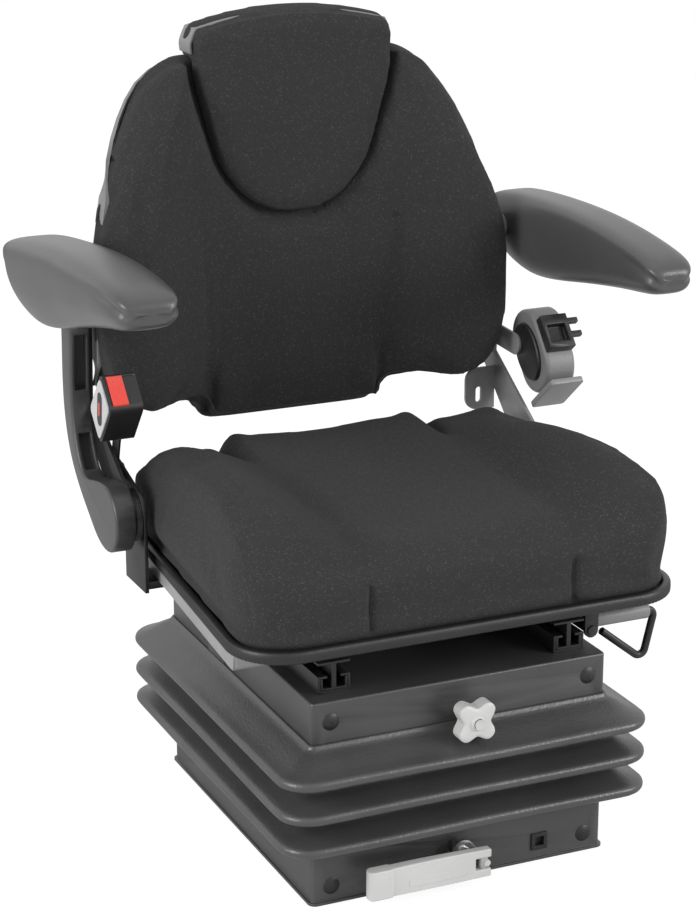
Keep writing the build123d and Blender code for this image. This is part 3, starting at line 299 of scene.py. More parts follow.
finishes = {
    "dark_steel": moulded("darkPaint", {
        "colour": grey(0.042), "second": grey(0.053), "grainScale": 700, "grainDepth": 0.25, "rough": 0.38,
        "gloss": 0.65, "wear": grey(0.24), "wearAndHighlightShare": 1.4}),
    "black_steel": moulded("blackPaint", {
        "colour": grey(0.007), "second": grey(0.011), "grainScale": 600, "grainDepth": 0.2, "rough": 0.42,
        "wear": grey(0.07), "wearAndHighlightShare": 1.1}),
    "light_steel": moulded("greyPaint", {
        "colour": grey(0.24), "second": grey(0.29), "grainScale": 600, "grainDepth": 0.15, "rough": 0.42,
        "wear": grey(0.42)}),
    "zinc_steel": moulded("zincPlate", {
        "colour": grey(0.55), "second": grey(0.42), "grainScale": 900, "grainDepth": 0.2, "rough": 0.3,
        "metal": 1.0, "cloudScale": 60}),
    "spring_steel": moulded("springPaint", {
        "colour": grey(0.01), "second": grey(0.02), "grainScale": 600, "grainDepth": 0.2, "rough": 0.35}),
    # the lighter fold tips of this rubber are a painted highlight
    "bellows_rubber": moulded("bellowsRubber", {
        "colour": grey(0.041), "second": grey(0.056), "grainScale": 520, "grainDepth": 0.5, "rough": 0.36,
        "gloss": 0.7, "wear": grey(0.15), "wearAndHighlightShare": 1.0, "wearAndHighlightRadius": 0.003}),
    "black_plastic": moulded("blackPlastic", {
        "colour": grey(0.008), "second": grey(0.013), "grainScale": 800, "grainDepth": 0.3, "rough": 0.42,
        "wear": grey(0.05)}),
    "grey_plastic": moulded("greyPlastic", {
        "colour": grey(0.20), "second": grey(0.235), "grainScale": 900, "grainDepth": 0.3, "rough": 0.45}),
    "armrest_skin": moulded("armrestSkin", {
        "colour": grey(0.062), "second": grey(0.072), "grainScale": 650, "grainDepth": 0.3, "rough": 0.33,
        "roughSpread": 0.04}),
    "pale_plastic": moulded("palePlastic", {
        "colour": grey(0.64, (1, 1, 0.985)), "second": grey(0.57, (1, 1, 0.98)), "grainScale": 500, "grainDepth": 0.2,
        "rough": 0.42}),
    "red_plastic": moulded("redPlastic", {
        "colour": (0.78, 0.055, 0.035, 1), "second": (0.70, 0.045, 0.03, 1), "grainScale": 700, "grainDepth": 0.1,
        "rough": 0.28, "coat": 0.3}),
    "seat_fabric": clothFabric("seatCloth", {
        "colour": grey(0.029), "second": grey(0.041), "fleck": grey(0.064), "fleckShare": 0.15, "thread": 0.0009,
        "fuzzScale": 700, "fleckScale": 760, "depth": 0.5, "sheen": 0.04}),
}
coverPlastic = moulded("coverPlastic", {
    "colour": grey(0.045), "second": grey(0.056), "grainScale": 900, "grainDepth": 0.3, "rough": 0.36,
    "wear": grey(0.10)})
plateSteel = moulded("plateSteel", {
    "colour": grey(0.52), "second": grey(0.46), "grainScale": 700, "grainDepth": 0.15, "rough": 0.36})
print("finishes mixed:", len(finishes))


# Helpers for the pieces
def camel(name):
    first, *rest = name.split("_")
    return first + "".join(word.capitalize() for word in rest)


def addPiece(name, bm, body=None, finish=None, stands=()):
    mesh = bpy.data.meshes.new(name)
    bm.normal_update()
    bm.to_mesh(mesh)
    bm.free()
    mesh.polygons.foreach_set("use_smooth", [True] * len(mesh.polygons))
    piece = bpy.data.objects.new(name, mesh)
    scene.collection.objects.link(piece)
    if finish:
        mesh.materials.append(finishes[finish])
    if stands:
        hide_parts(*stands)
    if body:
        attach(piece, body)
    return piece


def mergedCopy(node):
    bm = bmesh.new()
    bm.from_mesh(nodes[node].data)
    bmesh.ops.remove_doubles(bm, verts=bm.verts, dist=1e-5)
    bmesh.ops.dissolve_limit(bm, angle_limit=math.radians(0.4), verts=bm.verts, edges=bm.edges)
    return bm


def softenEdges(piece, width, segments=2, angle=32):
    edge = piece.modifiers.new("softEdges", "BEVEL")
    edge.width, edge.segments, edge.angle_limit = width, segments, math.radians(angle)
    edge.limit_method, edge.harden_normals, edge.use_clamp_overlap = "ANGLE", True, True
    return piece


def dressNode(node, width):  # the CAD form with broken edges and its real finish
    return softenEdges(addPiece(camel(node), mergedCopy(node), bodyOf[node], slotOf[node], [node]), width * mm)


def smoothStep(low, high, value):
    t = min(1, max(0, (value - low) / (high - low)))
    return t * t * (3 - 2 * t)


def between(table, value):  # straight interpolation in a table of pairs
    for (a, fromA), (b, fromB) in zip(table, table[1:]):
        if value <= b:
            return fromA + (fromB - fromA) * min(1, max(0, (value - a) / (b - a)))
    return table[-1][1]


def dent(distance, width, depth):  # a rounded groove across a line
    return -depth * math.exp(-(distance / width) ** 2)


def scaled(values):  # millimetres to the scene's metres
    return tuple(value * mm for value in values)


def block(size, centre, rounding=None):  # a box; rounding gives the axis, radius and segments of its rounded edges
    bm = bmesh.new()
    bmesh.ops.create_cube(bm, size=1)
    bmesh.ops.scale(bm, verts=bm.verts, vec=scaled(size))
    if rounding:
        axis, radius, segments = rounding
        along = [e for e in bm.edges if abs(e.verts[0].co[axis] - e.verts[1].co[axis]) > 1e-6]
        bmesh.ops.bevel(bm, geom=along, offset=radius * mm, offset_type="OFFSET", segments=segments, affect="EDGES",
                        profile=0.5, material=-1)
    bmesh.ops.translate(bm, verts=bm.verts, vec=scaled(centre))
    return bm


def turnedForward(bm):  # from standing on z = 0 to facing -Y
    bmesh.ops.rotate(bm, verts=bm.verts, cent=(0, 0, 0), matrix=Matrix.Rotation(math.radians(90), 3, "X"))


def disc(radius, depth, sides, centre):  # a cylinder along Y
    bm = bmesh.new()
    bmesh.ops.create_cone(bm, cap_ends=True, segments=sides, radius1=radius * mm, radius2=radius * mm, depth=depth * mm)
    turnedForward(bm)
    bmesh.ops.translate(bm, verts=bm.verts, vec=scaled(centre))
    return bm


def row(bm, verts, closed=True):  # the edges along one row of corners
    return [bm.edges.new(pair) for pair in zip(verts, verts[1:] + verts[:1] if closed else verts[1:])]


def bridge(bm, rows, closed=False):  # faces from each row to the next
    for a, b in zip(rows, rows[1:] + rows[:1] if closed else rows[1:]):
        bmesh.ops.bridge_loops(bm, edges=a + b)


def capEnds(bm):
    bmesh.ops.holes_fill(bm, edges=[e for e in bm.edges if e.is_boundary])


def highestFace(bm):
    return max(bm.faces, key=lambda f: f.calc_center_median().z)


def evenPoints(dense, count, step):  # count points along a dense line, step apart from its start
    points, walked, want = [], 0, 0
    for a, b in zip(dense, dense[1:]):
        length = (b - a).length
        while want <= walked + length + 1e-9 and len(points) < count:
            points.append(a.lerp(b, (want - walked) / length if length else 0))
            want += step
        walked += length
    return points


# Rigid nodes that keep their form
edgeWidths = {
    "lower_housing": 0.8, "upper_housing": 0.8, "lower_rails": 0.4, "upper_rails": 0.4, "seat_frame": 0.5,
    "left_bracket": 0.5, "right_bracket": 0.5, "recline_bolts": 0.5, "buckle_anchor_bolt": 0.4, "slide_lever_grip": 0.6,
    "recline_lever": 0.5, "recline_lever_grip": 0.6, "left_side_plate": 0.6, "right_side_plate": 0.6,
    "retractor_bracket": 0.4, "retractor_case": 0.8, "retractor_cover": 0.5, "retractor_foot": 0.8, "belt_guide": 1.0,
    "crank_hub": 0.5, "weight_indicator": 0.3,
}
fineNodes = [
    "lower_plugs", "upper_plugs", "crank_spindle", "crank_pin", "height_spindle", "lower_hinge_shaft",
    "upper_hinge_shaft", "rubber_buffers", "damper_tube", "damper_piston", "scissor_outer_arms",
    "scissor_centre_bolts", "scissor_inner_arms", "upper_rollers", "lower_rollers", "slide_lever", "back_screws",
    "guide_sleeves", "extension_guide_rods",
]
for node, width in edgeWidths.items():
    dressNode(node, width)
for node in fineNodes:
    dressNode(node, 0.3)
cover = dressNode("left_side_cover", 0.8)
cover.data.materials[0] = coverPlastic
print("rigid nodes dressed")

# Coil spring
bm = mergedCopy("suspension_spring")
coil = addPiece("suspensionCoil", bm, None, "spring_steel", ["suspension_spring"])
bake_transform(coil)
print("spring wound")

# Extension shell: its top edge stays under the cloth
extensionShell = {"from": 765, "to": 805, "sink": 13, "narrow": 0.05, "edge": 0.8}
bm = mergedCopy("extension_shell")
for v in bm.verts:
    v.co.z -= extensionShell["sink"] * mm * smoothStep(extensionShell["from"], extensionShell["to"], v.co.z / mm)
    v.co.x *= 1 - extensionShell["narrow"]
rearSkin = addPiece("extensionShell", bm, "extension", "grey_plastic", ["extension_shell"])
softenEdges(rearSkin, extensionShell["edge"] * mm)
print("extension shell set")

# Seat pan: the tray's floor steps up near the front
pan = {"stepStart": -169.5, "stepEnd": -172, "lift": 17.2, "floorTop": 256, "edge": 0.6}
bm = mergedCopy("seat_pan")
for y in (pan["stepStart"], pan["stepEnd"]):
    everything = bm.verts[:] + bm.edges[:] + bm.faces[:]
    bmesh.ops.bisect_plane(bm, geom=everything, plane_co=(0, y * mm, 0), plane_no=(0, 1, 0))
for v in bm.verts:
    if v.co.y < (pan["stepEnd"] + 0.1) * mm and v.co.z < pan["floorTop"] * mm:
        v.co.z += pan["lift"] * mm
softenEdges(addPiece("seatPan", bm, "seat", "light_steel", ["seat_pan"]), pan["edge"] * mm)
print("pan stepped")


# Bellows
bellows = {
    "halfX": 160.3, "halfY": 189.3, "corner": 5.3, "tipCorner": 34, "cornerSteps": 7, "wall": 2.0,
    "tips": [143, 108.5, 74], "top": 170, "foot": 52, "reach": 39.5, "waist": 9, "straight": 14, "slack": 0.9,
}


def roundedRing(halfX, halfY, corner, steps, straight):  # points round a rounded rectangle, anticlockwise
    points = []
    for sx, sy, start in ((1, 1, 0), (-1, 1, 90), (-1, -1, 180), (1, -1, 270)):
        for i in range(steps + 1):
            a = math.radians(start + 90 * i / steps)
            centre = Vector((sx * (halfX - corner), sy * (halfY - corner)))
            points.append(centre + corner * Vector((math.cos(a), math.sin(a))))
    ring = []
    for a, b in zip(points, points[1:] + points[:1]):
        cuts = straight if (b - a).length > corner * math.pi / 2 / steps * 1.5 + 1 else 1
        ring += [a.lerp(b, i / cuts) for i in range(cuts)]
    return ring


def bellowsProfile(look):  # heights and reaches from the top collar down to the foot
    up = [(look["top"], 0.2), (look["top"] - 1, 2.4), (look["top"] - 5, 3.2)]
    for i, tip in enumerate(look["tips"]):
        low = look["tips"][i + 1] if i + 1 < len(look["tips"]) else look["foot"] - 6
        valley = (tip + low) / 2
        if i == 0:
            up += [(tip + 18, 12), (tip + 9, 26)]
        up += [(tip + 6.2, look["reach"] - 6.5), (tip + 4.6, look["reach"] - 1.8), (tip + 2, look["reach"]),
               (tip - 2.4, look["reach"]), (tip - 4.8, look["reach"] - 2.2), (tip - 6, look["reach"] - 7),
               (tip - 9.5, look["reach"] - 18)]
        if i + 1 < len(look["tips"]):
            up += [(valley + 2.5, look["waist"] + 2.2), (valley, look["waist"]), (valley - 2.5, look["waist"] + 2.2),
                   (valley - 8.5, look["reach"] - 17)]
    return up + [(look["foot"] + 5, 4.5), (look["foot"] + 1, 2.6), (look["foot"], 0.4)]


bm = bmesh.new()
rows = []
for z, reach in bellowsProfile(bellows):
    corner = bellows["corner"] + reach * (bellows["tipCorner"] - bellows["corner"]) / bellows["reach"]
    verts = []
    halfX, halfY = bellows["halfX"] + reach, bellows["halfY"] + reach
    for p in roundedRing(halfX, halfY, corner, bellows["cornerSteps"], bellows["straight"]):
        slack = math.sin(p.x * 0.021 + z * 0.05) * math.sin(p.y * 0.017 + 1.3) * reach / bellows["reach"]
        verts.append(bm.verts.new(scaled((p.x, p.y, z + bellows["slack"] * slack))))
    rows.append(row(bm, verts))
bridge(bm, rows)
bmesh.ops.recalc_face_normals(bm, faces=bm.faces)
rubber = addPiece("bellowsSleeve", bm, None, "bellows_rubber", ["bellows"])
wall = rubber.modifiers.new("wall", "SOLIDIFY")
wall.thickness, wall.offset = bellows["wall"] * mm, -1
sub = rubber.modifiers.new("smooth", "SUBSURF")
sub.levels = sub.render_levels = 1
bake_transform(rubber)
print("bellows folded")


# Ribbed edging of the pan
edging = {
    "frontHalf": 236, "rearHalf": 203, "front": -218, "rear": 200, "frontCorner": 52, "rearCorner": 40,
    "pitch": 4.6, "rib": 0.9, "cornerSteps": 24,
    "section": [(-3.6, 281.3), (-1, 281.5), (3.4, 281.3), (4.7, 280), (5.0, 275.5), (4.7, 271), (3.4, 269.7),
                (0.15, 269.5), (0.15, 279.2), (-3.6, 279.3)],
}


def panLine(look, pitch):  # the pan's rounded outline, evenly divided
    right = [(look[end + "Half"], look[end], look[end + "Corner"]) for end in ("front", "rear")]
    corners = right + [(-x, y, r) for x, y, r in reversed(right)]
    dense = []
    for i, (x, y, r) in enumerate(corners):
        here = Vector((x, y))
        before = (Vector(corners[i - 1][:2]) - here).normalized()
        after = (Vector(corners[(i + 1) % 4][:2]) - here).normalized()
        half = before.angle(after) / 2
        centre = here + (before + after).normalized() * (r / math.sin(half))
        p = here + before * (r / math.tan(half)) - centre
        q = here + after * (r / math.tan(half)) - centre
        turn = p.angle_signed(q)
        steps = look["cornerSteps"]
        dense += [centre + Matrix.Rotation(-turn * k / steps, 2) @ p for k in range(steps + 1)]
    dense.append(dense[0])
    total = sum((b - a).length for a, b in zip(dense, dense[1:]))
    count = int(total / pitch) // 2 * 2
    return evenPoints(dense, count, total / count)


bm = bmesh.new()
line = panLine(edging, edging["pitch"] / 2)
rows = []
for i, p in enumerate(line):
    ahead, behind = line[(i + 1) % len(line)], line[i - 1]
    out = (ahead - behind).normalized()
    out = Vector((out.y, -out.x))
    if out.dot(p) < 0:
        out = -out
    proud = edging["rib"] if i % 2 else 0
    verts = []
    for r, z in edging["section"]:
        reach = r - proud if r > 3 else r
        verts.append(bm.verts.new(scaled((p.x + out.x * reach, p.y + out.y * reach, z))))
    rows.append(row(bm, verts))
bridge(bm, rows, closed=True)
bmesh.ops.recalc_face_normals(bm, faces=bm.faces)
addPiece("panEdging", bm, "seat", "black_plastic", ["pan_trim"])
print("edging ribbed")


# Cushions
stuffing = {"smooth": 0.5, "stiffness": 12, "quality": 5, "pressure": 4, "frames": 20, "settle": 0.4, "fill": 0.8}


def smoothed(bm, rounds, factor):
    for _ in range(rounds):
        bmesh.ops.smooth_vert(bm, verts=bm.verts, factor=factor, use_axis_x=True, use_axis_y=True, use_axis_z=True)


def paddedForm(name, node, pad, body):  # CAD solid, evened out, drawn in, then blown up by cloth pressure
    piece = addPiece(name, mergedCopy(node))
    even = piece.modifiers.new("even", "REMESH")
    even.mode, even.voxel_size = "VOXEL", pad["voxel"] * mm
    bpy.context.view_layer.update()
    solid = bpy.data.meshes.new_from_object(piece.evaluated_get(bpy.context.evaluated_depsgraph_get()))
    piece.modifiers.clear()
    piece.data = solid
    bm = bmesh.new()
    bm.from_mesh(solid)
    smoothed(bm, pad["rounds"], stuffing["smooth"])
    bm.normal_update()
    for v in bm.verts:
        v.co -= v.normal * pad["drawIn"] * mm * pad["soft"](v.co)
    bm.to_mesh(solid)
    bm.free()
    hold = piece.vertex_groups.new(name="held")
    for v in solid.vertices:
        hold.add([v.index], 1 - min(1, pad["soft"](v.co)), "REPLACE")
    cloth = piece.modifiers.new("stuffing", "CLOTH")
    cloth.settings.use_pressure = True
    cloth.settings.uniform_pressure_force = stuffing["pressure"]
    cloth.settings.effector_weights.gravity = 0
    cloth.settings.vertex_group_mass = "held"
    cloth.settings.tension_stiffness = cloth.settings.compression_stiffness = stuffing["stiffness"]
    cloth.settings.quality = stuffing["quality"]
    before = [v.co.copy() for v in solid.vertices]
    for f in range(1, stuffing["frames"] + 1):
        scene.frame_set(f)
    blown = piece.evaluated_get(bpy.context.evaluated_depsgraph_get()).data
    moved = [v.co.copy() for v in blown.vertices]
    piece.modifiers.clear()
    scene.frame_set(1)
    for v, a, b in zip(solid.vertices, before, moved):
        way = b - a
        v.co = a + way * min(1, pad["cap"] * mm / max(way.length, 1e-9))
    bm = bmesh.new()
    bm.from_mesh(solid)
    smoothed(bm, 2, stuffing["settle"])
    bmesh.ops.subdivide_edges(bm, edges=bm.edges, cuts=1, use_grid_fill=True, smooth=0)
    bm.normal_update()
    for v in bm.verts:
        v.co += pad["shape"](v.co / mm, v.normal) * mm
    bm.to_mesh(solid)
    bm.free()
    solid.polygons.foreach_set("use_smooth", [True] * len(solid.polygons))
    solid.materials.append(finishes["seat_fabric"])
    piece.name = name
    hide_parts(node)
    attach(piece, body)
    print("padded", name, len(solid.polygons), "faces")


seatPad = {
    "voxel": 6, "rounds": 6, "drawIn": 4, "cap": 6, "soft": lambda co: smoothStep(0.282, 0.300, co.z),
    "crest": [(-222, 0), (-205, 9), (-180, 23), (-150, 29), (-119, 31), (-78, 29), (-26, 23), (6, 19), (60, 8),
              (94, 2), (130, 0)],
    "rearDrop": 17, "rearSeam": 115, "rearSeamWidth": 8, "rearSeamDepth": 8, "sideTuck": 5,
    "panelHalf": 112, "panelWidth": 20, "panelDepth": 4.5,
    "dartX": 108.5, "darts": [(288, 346), (284, 338)], "dartGrooves": [(2.6, 5.0), (12, 3)],
}


def seatShape(p, normal):  # raised bolsters at the sides, the panel between its seams, darts in the front
    x = abs(p.x)
    out = Vector((0, 0, 0))
    top = smoothStep(0.1, 0.6, normal.z)
    outer = smoothStep(150, 200, x)
    rear = smoothStep(40 + 70 * outer, 150 + 35 * outer, p.y)
    low = smoothStep(283, 290, p.z) * (1 - smoothStep(292, 335, p.z))
    out.z += between(seatPad["crest"], p.y) * smoothStep(108, 190, x) * smoothStep(306, 366, p.z)
    out.z -= seatPad["rearDrop"] * smoothStep(100, 118, x) * rear * top
    out.x -= math.copysign(seatPad["sideTuck"], p.x) * outer * low
    seam = dent(x - seatPad["rearSeam"], seatPad["rearSeamWidth"], seatPad["rearSeamDepth"])
    out.z += seam * rear * smoothStep(320, 345, p.z)
    out.z += dent(x - seatPad["panelHalf"], seatPad["panelWidth"], seatPad["panelDepth"]) * top * (1 - rear)
    foot, head = seatPad["darts"][0 if p.x < 0 else 1]
    dart = smoothStep(foot - 8, foot, p.z) * (1 - smoothStep(head - 16, head, p.z)) * smoothStep(0.2, 0.6, -normal.y)
    for width, depth in seatPad["dartGrooves"]:
        out += normal * dent(x - seatPad["dartX"], width, depth) * dart
    floorTop = pan["floorTop"] + pan["lift"]
    if p.y < pan["stepStart"] + 4 and p.z < floorTop:  # the raised floor of the pan stands here
        out.z += floorTop - p.z
    return out


seatPad["shape"] = seatShape
paddedForm("seatCushion", "seat_cushion", seatPad, "seat")

# Rear shell's form, a bowed sheet whose rim narrows with height: the back cushion's rear follows it
shell = {
    "wall": 4.0, "rim": 202, "straight": 216, "rear": 267, "bow": 2.7, "points": 56, "edge": 1.0,
    "halves": [(548, 231), (590, 224), (627, 218), (665, 209), (700, 204), (740, 202), (777, 201)],
    "outline": [(375, 100), (379, 105), (385, 109), (399, 113), (400, 176), (405, 207), (412, 216), (430, 230),
                (457, 239), (490, 242), (527, 241), (575, 233), (600, 226), (627, 218), (664, 207), (685, 199),
                (704, 190), (722, 179), (738, 166), (750, 149), (757, 131), (761, 115)],
}

backPad = {
    "voxel": 6, "rounds": 4, "drawIn": 4, "cap": 6, "soft": lambda co: smoothStep(-0.250, -0.222, -co.y),
    "front": 213, "rear": 250, "plain": [(300, 246, 52, 177), (800, 246, 52, 177)],
    "levels": [(540, 246, 52, 177), (600, 227, 44, 181), (660, 209, 31, 193), (700, 194, 21, 210), (735, 170, 13, 226),
               (770, 150, 9, 234)],
    "narrow": 2.5, "bottomDrop": 8, "slotLean": 5.5, "seamLow": 100, "seamSpread": 12, "creases": [(6, 4.0), (18, 2.5)],
}


def faceAt(levels, x, z):  # the front face's Y: hollow in the middle, out at the bolsters, back at the edge
    wide, deep, end = (between([(level[0], level[i]) for level in levels], z) for i in (1, 2, 3))
    middle = backPad["front"]
    line = [(0, middle), (0.37, middle - 0.04 * deep), (0.57, middle - 0.42 * deep), (0.77, middle - 0.9 * deep),
            (0.92, (2 * (middle - deep) + end) / 3), (1.0, end)]  # shares of the half width
    return between(line, x / wide)


def backShape(p, normal):  # a flatter upper face, a rear cupped by the shell, creases low down
    x = abs(p.x)
    now, then = faceAt(backPad["plain"], x, p.z), faceAt(backPad["levels"], x, p.z)
    rear = backPad["rear"]
    out = Vector((0, 0, 0))
    if p.y < rear:
        out.y = (rear - p.y) * (1 - (rear - then) / (rear - now)) if then > now else 0
    half = between(shell["halves"], p.z) - shell["wall"]
    inside = (1 - min(1, x / half) ** shell["bow"]) ** (1 / shell["bow"])
    behind = shell["straight"] + (shell["rear"] - shell["straight"] - shell["wall"] - 2) * inside - 1
    if p.y > behind:
        out.y = behind - p.y
    if 20 < p.x < 135 and p.z > 585 and normal.x < -0.15 and 200 < p.y < 236:  # the slot's wall leans on the tongue
        out.x -= backPad["slotLean"] * smoothStep(0.15, 0.5, -normal.x)
    out.x -= math.copysign(backPad["narrow"], p.x) * smoothStep(120, 180, x) * smoothStep(560, 640, p.z)
    out.z -= backPad["bottomDrop"] * (1 - smoothStep(378, 440, p.z))
    seam = backPad["seamLow"] + backPad["seamSpread"] * smoothStep(380, 620, p.z)
    fade = (1 - smoothStep(540, 650, p.z)) * smoothStep(0.1, 0.6, -normal.y)
    if p.x <= 0:
        fade *= 1 - 0.7 * smoothStep(395, 430, p.z)
    for width, depth in backPad["creases"]:
        out += normal * dent(x - seam, width, depth) * fade
    return out


backPad["shape"] = backShape
paddedForm("backCushion", "backrest_cushion", backPad, "backrest")

headPad = {
    "voxel": 4, "rounds": 3, "drawIn": 2.5, "cap": 4, "soft": lambda co: smoothStep(-0.240, -0.222, -co.y),
    "top": 6, "narrow": 0.022,
}


def headShape(p, normal):  # a touch narrower and lower at the top than the CAD form
    rise = smoothStep(640, 720, p.z)
    return Vector((-headPad["narrow"] * p.x * rise, 0, -headPad["top"] * smoothStep(720, 800, p.z)))


headPad["shape"] = headShape
paddedForm("extensionCushion", "extension_cushion", headPad, "extension")


# Height knob: a four-lobed star with its stem, its cap and a bent groove
knob = {
    "z": 178.5, "front": -225, "thick": 15.5, "mean": 19.6, "wave": 5.0, "steps": 96, "sunk": 1.9,
    "rings": [(2.2, 1.4), (2.2, 0.5)], "stem": 8, "stemLong": 22, "stemY": -200.1, "capBack": 2.1,
    "cap": [(0, 0.0), (4.6, 0.0), (5.3, -0.5), (5.9, -0.5), (6.5, 0.5), (7.4, 0.9), (7.9, 2.2)],
    "groove": (5.25, 5.95), "grooveSteps": 14, "grooveOut": 2.75, "grooveThick": 0.3,
}


def onKnob(bm):  # turn it to face -Y at the knob's height
    turnedForward(bm)
    bmesh.ops.translate(bm, verts=bm.verts, vec=(0, 0, knob["z"] * mm))
    return bm


bm = bmesh.new()
bmesh.ops.create_circle(bm, cap_ends=True, segments=knob["steps"], radius=mm)
for v in bm.verts:
    a = math.atan2(v.co.y, v.co.x)
    lobe = math.cos(4 * a + math.pi)
    radius = knob["mean"] + knob["wave"] * (lobe if lobe < 0 else lobe * (1.15 - 0.35 * lobe))
    v.co.x, v.co.y = radius * math.cos(a) * mm, radius * math.sin(a) * mm
face = list(bm.faces)
raised = bmesh.ops.extrude_face_region(bm, geom=face)
tops = [g for g in raised["geom"] if isinstance(g, bmesh.types.BMVert)]
bmesh.ops.translate(bm, verts=tops, vec=(0, 0, knob["thick"] * mm))
bmesh.ops.delete(bm, geom=face, context="FACES_ONLY")
capEnds(bm)
for width, rise in knob["rings"]:
    bmesh.ops.inset_individual(bm, faces=[highestFace(bm)], thickness=width * mm, depth=rise * mm)
bmesh.ops.recalc_face_normals(bm, faces=bm.faces)
bmesh.ops.translate(bm, verts=bm.verts, vec=(0, 0, (-knob["front"] - knob["thick"] - knob["sunk"]) * mm))
softenEdges(addPiece("heightKnobStar", onKnob(bm), "height_knob", "pale_plastic", ["height_knob"]), 0.8 * mm, 3, 24)

bm = disc(knob["stem"], knob["stemLong"], 48, (0, knob["stemY"], knob["z"]))
softenEdges(addPiece("heightKnobStem", bm, "height_knob", "pale_plastic"), 0.4 * mm)

bm = bmesh.new()
verts = [bm.verts.new((r * mm, 0, -(knob["front"] + d) * mm)) for r, d in knob["cap"]]
edges = row(bm, verts, closed=False)
bmesh.ops.spin(bm, geom=verts + edges, cent=(0, 0, 0), axis=(0, 0, 1), dvec=(0, 0, 0), angle=math.tau, steps=48,
               use_merge=True)
bmesh.ops.remove_doubles(bm, verts=bm.verts, dist=1e-6)
bmesh.ops.translate(bm, verts=bm.verts, vec=(0, 0, knob["capBack"] * mm))
bmesh.ops.recalc_face_normals(bm, faces=bm.faces)
addPiece("heightKnobCap", onKnob(bm), "height_knob", "pale_plastic", ["height_knob_button"])

bm = bmesh.new()
spokes = [math.radians(70 + 150 * i / knob["grooveSteps"]) for i in range(knob["grooveSteps"] + 1)]
rows = []
for r in knob["groove"]:
    out = -knob["front"] + knob["grooveOut"]
    rows.append(row(bm, [bm.verts.new(scaled((r * math.cos(a), r * math.sin(a), out))) for a in spokes], closed=False))
bridge(bm, rows)
mark = addPiece("heightKnobGroove", onKnob(bm), "height_knob", "black_plastic")
mark.modifiers.new("depth", "SOLIDIFY").thickness = knob["grooveThick"] * mm
print("knob turned")


# Weight crank: a bowed arm with a notch for its hinge, a grip, a sunk pad and the pin's head
crank = {
    "z": 27, "front": -225, "thick": 11, "height": 29, "left": -115, "right": 17, "armLeft": -107, "cuts": 12,
    "bow": 1.2, "thin": 1.5, "notch": (18, 50, 12.2), "notchX": 9, "grip": (27, 14.6, 30.6), "gripRound": 5.5,
    "pad": (62, 1.0, 9), "padX": -42, "padDown": 4, "padProud": 0.05,
    "pinX": 12.6, "pinY": -222.8, "pin": 3.4, "pinLong": 5,
}
middleY = crank["front"] + crank["thick"] / 2
long = crank["right"] - crank["armLeft"]
bm = block((long, crank["thick"], crank["height"]), ((crank["right"] + crank["armLeft"]) / 2, middleY, crank["z"]))
for cut in range(1, crank["cuts"]):
    everything = bm.verts[:] + bm.edges[:] + bm.faces[:]
    x = crank["armLeft"] + long * cut / crank["cuts"]
    bmesh.ops.bisect_plane(bm, geom=everything, plane_co=(x * mm, 0, 0), plane_no=(1, 0, 0))
for v in bm.verts:
    share = (v.co.x / mm - crank["left"]) / (crank["right"] - crank["left"])
    v.co.z += crank["bow"] * math.sin(share * 3.0) * mm * (1 if v.co.z > crank["z"] * mm else -0.4)
    if v.co.y > (crank["front"] + 6) * mm:
        v.co.y -= crank["thin"] * mm * smoothStep(0.2, 0.8, share)
arm = addPiece("crankArm", bm, "crank_arm", "pale_plastic", ["crank_arm"])
cutter = block(crank["notch"], (crank["notchX"], crank["front"], crank["z"]))
cutMesh = bpy.data.meshes.new("notchTool")
cutter.to_mesh(cutMesh)
cutter.free()
cutObject = bpy.data.objects.new("notchTool", cutMesh)
scene.collection.objects.link(cutObject)
notch = arm.modifiers.new("notch", "BOOLEAN")
notch.object, notch.operation, notch.solver = cutObject, "DIFFERENCE", "EXACT"
bpy.context.view_layer.update()
arm.data = bpy.data.meshes.new_from_object(arm.evaluated_get(bpy.context.evaluated_depsgraph_get()))
arm.modifiers.clear()
bpy.data.objects.remove(cutObject)
softenEdges(arm, 1.4 * mm, 3, 40)

bm = block(crank["grip"], (crank["left"] + crank["grip"][0] / 2, middleY, crank["z"]), (2, crank["gripRound"], 5))
softenEdges(addPiece("crankGrip", bm, "crank_arm", "pale_plastic"), 1.6 * mm, 3, 40)

bm = block(crank["pad"], (crank["padX"], crank["front"] - crank["padProud"], crank["z"] - crank["padDown"]), (1, 4, 6))
softenEdges(addPiece("crankPad", bm, "crank_arm", "pale_plastic"), 0.35 * mm)

bm = disc(crank["pin"], crank["pinLong"], 32, (crank["pinX"], crank["pinY"], crank["z"]))
softenEdges(addPiece("crankPinHead", bm, "crank_arm", "pale_plastic"), 0.5 * mm)
print("crank shaped")

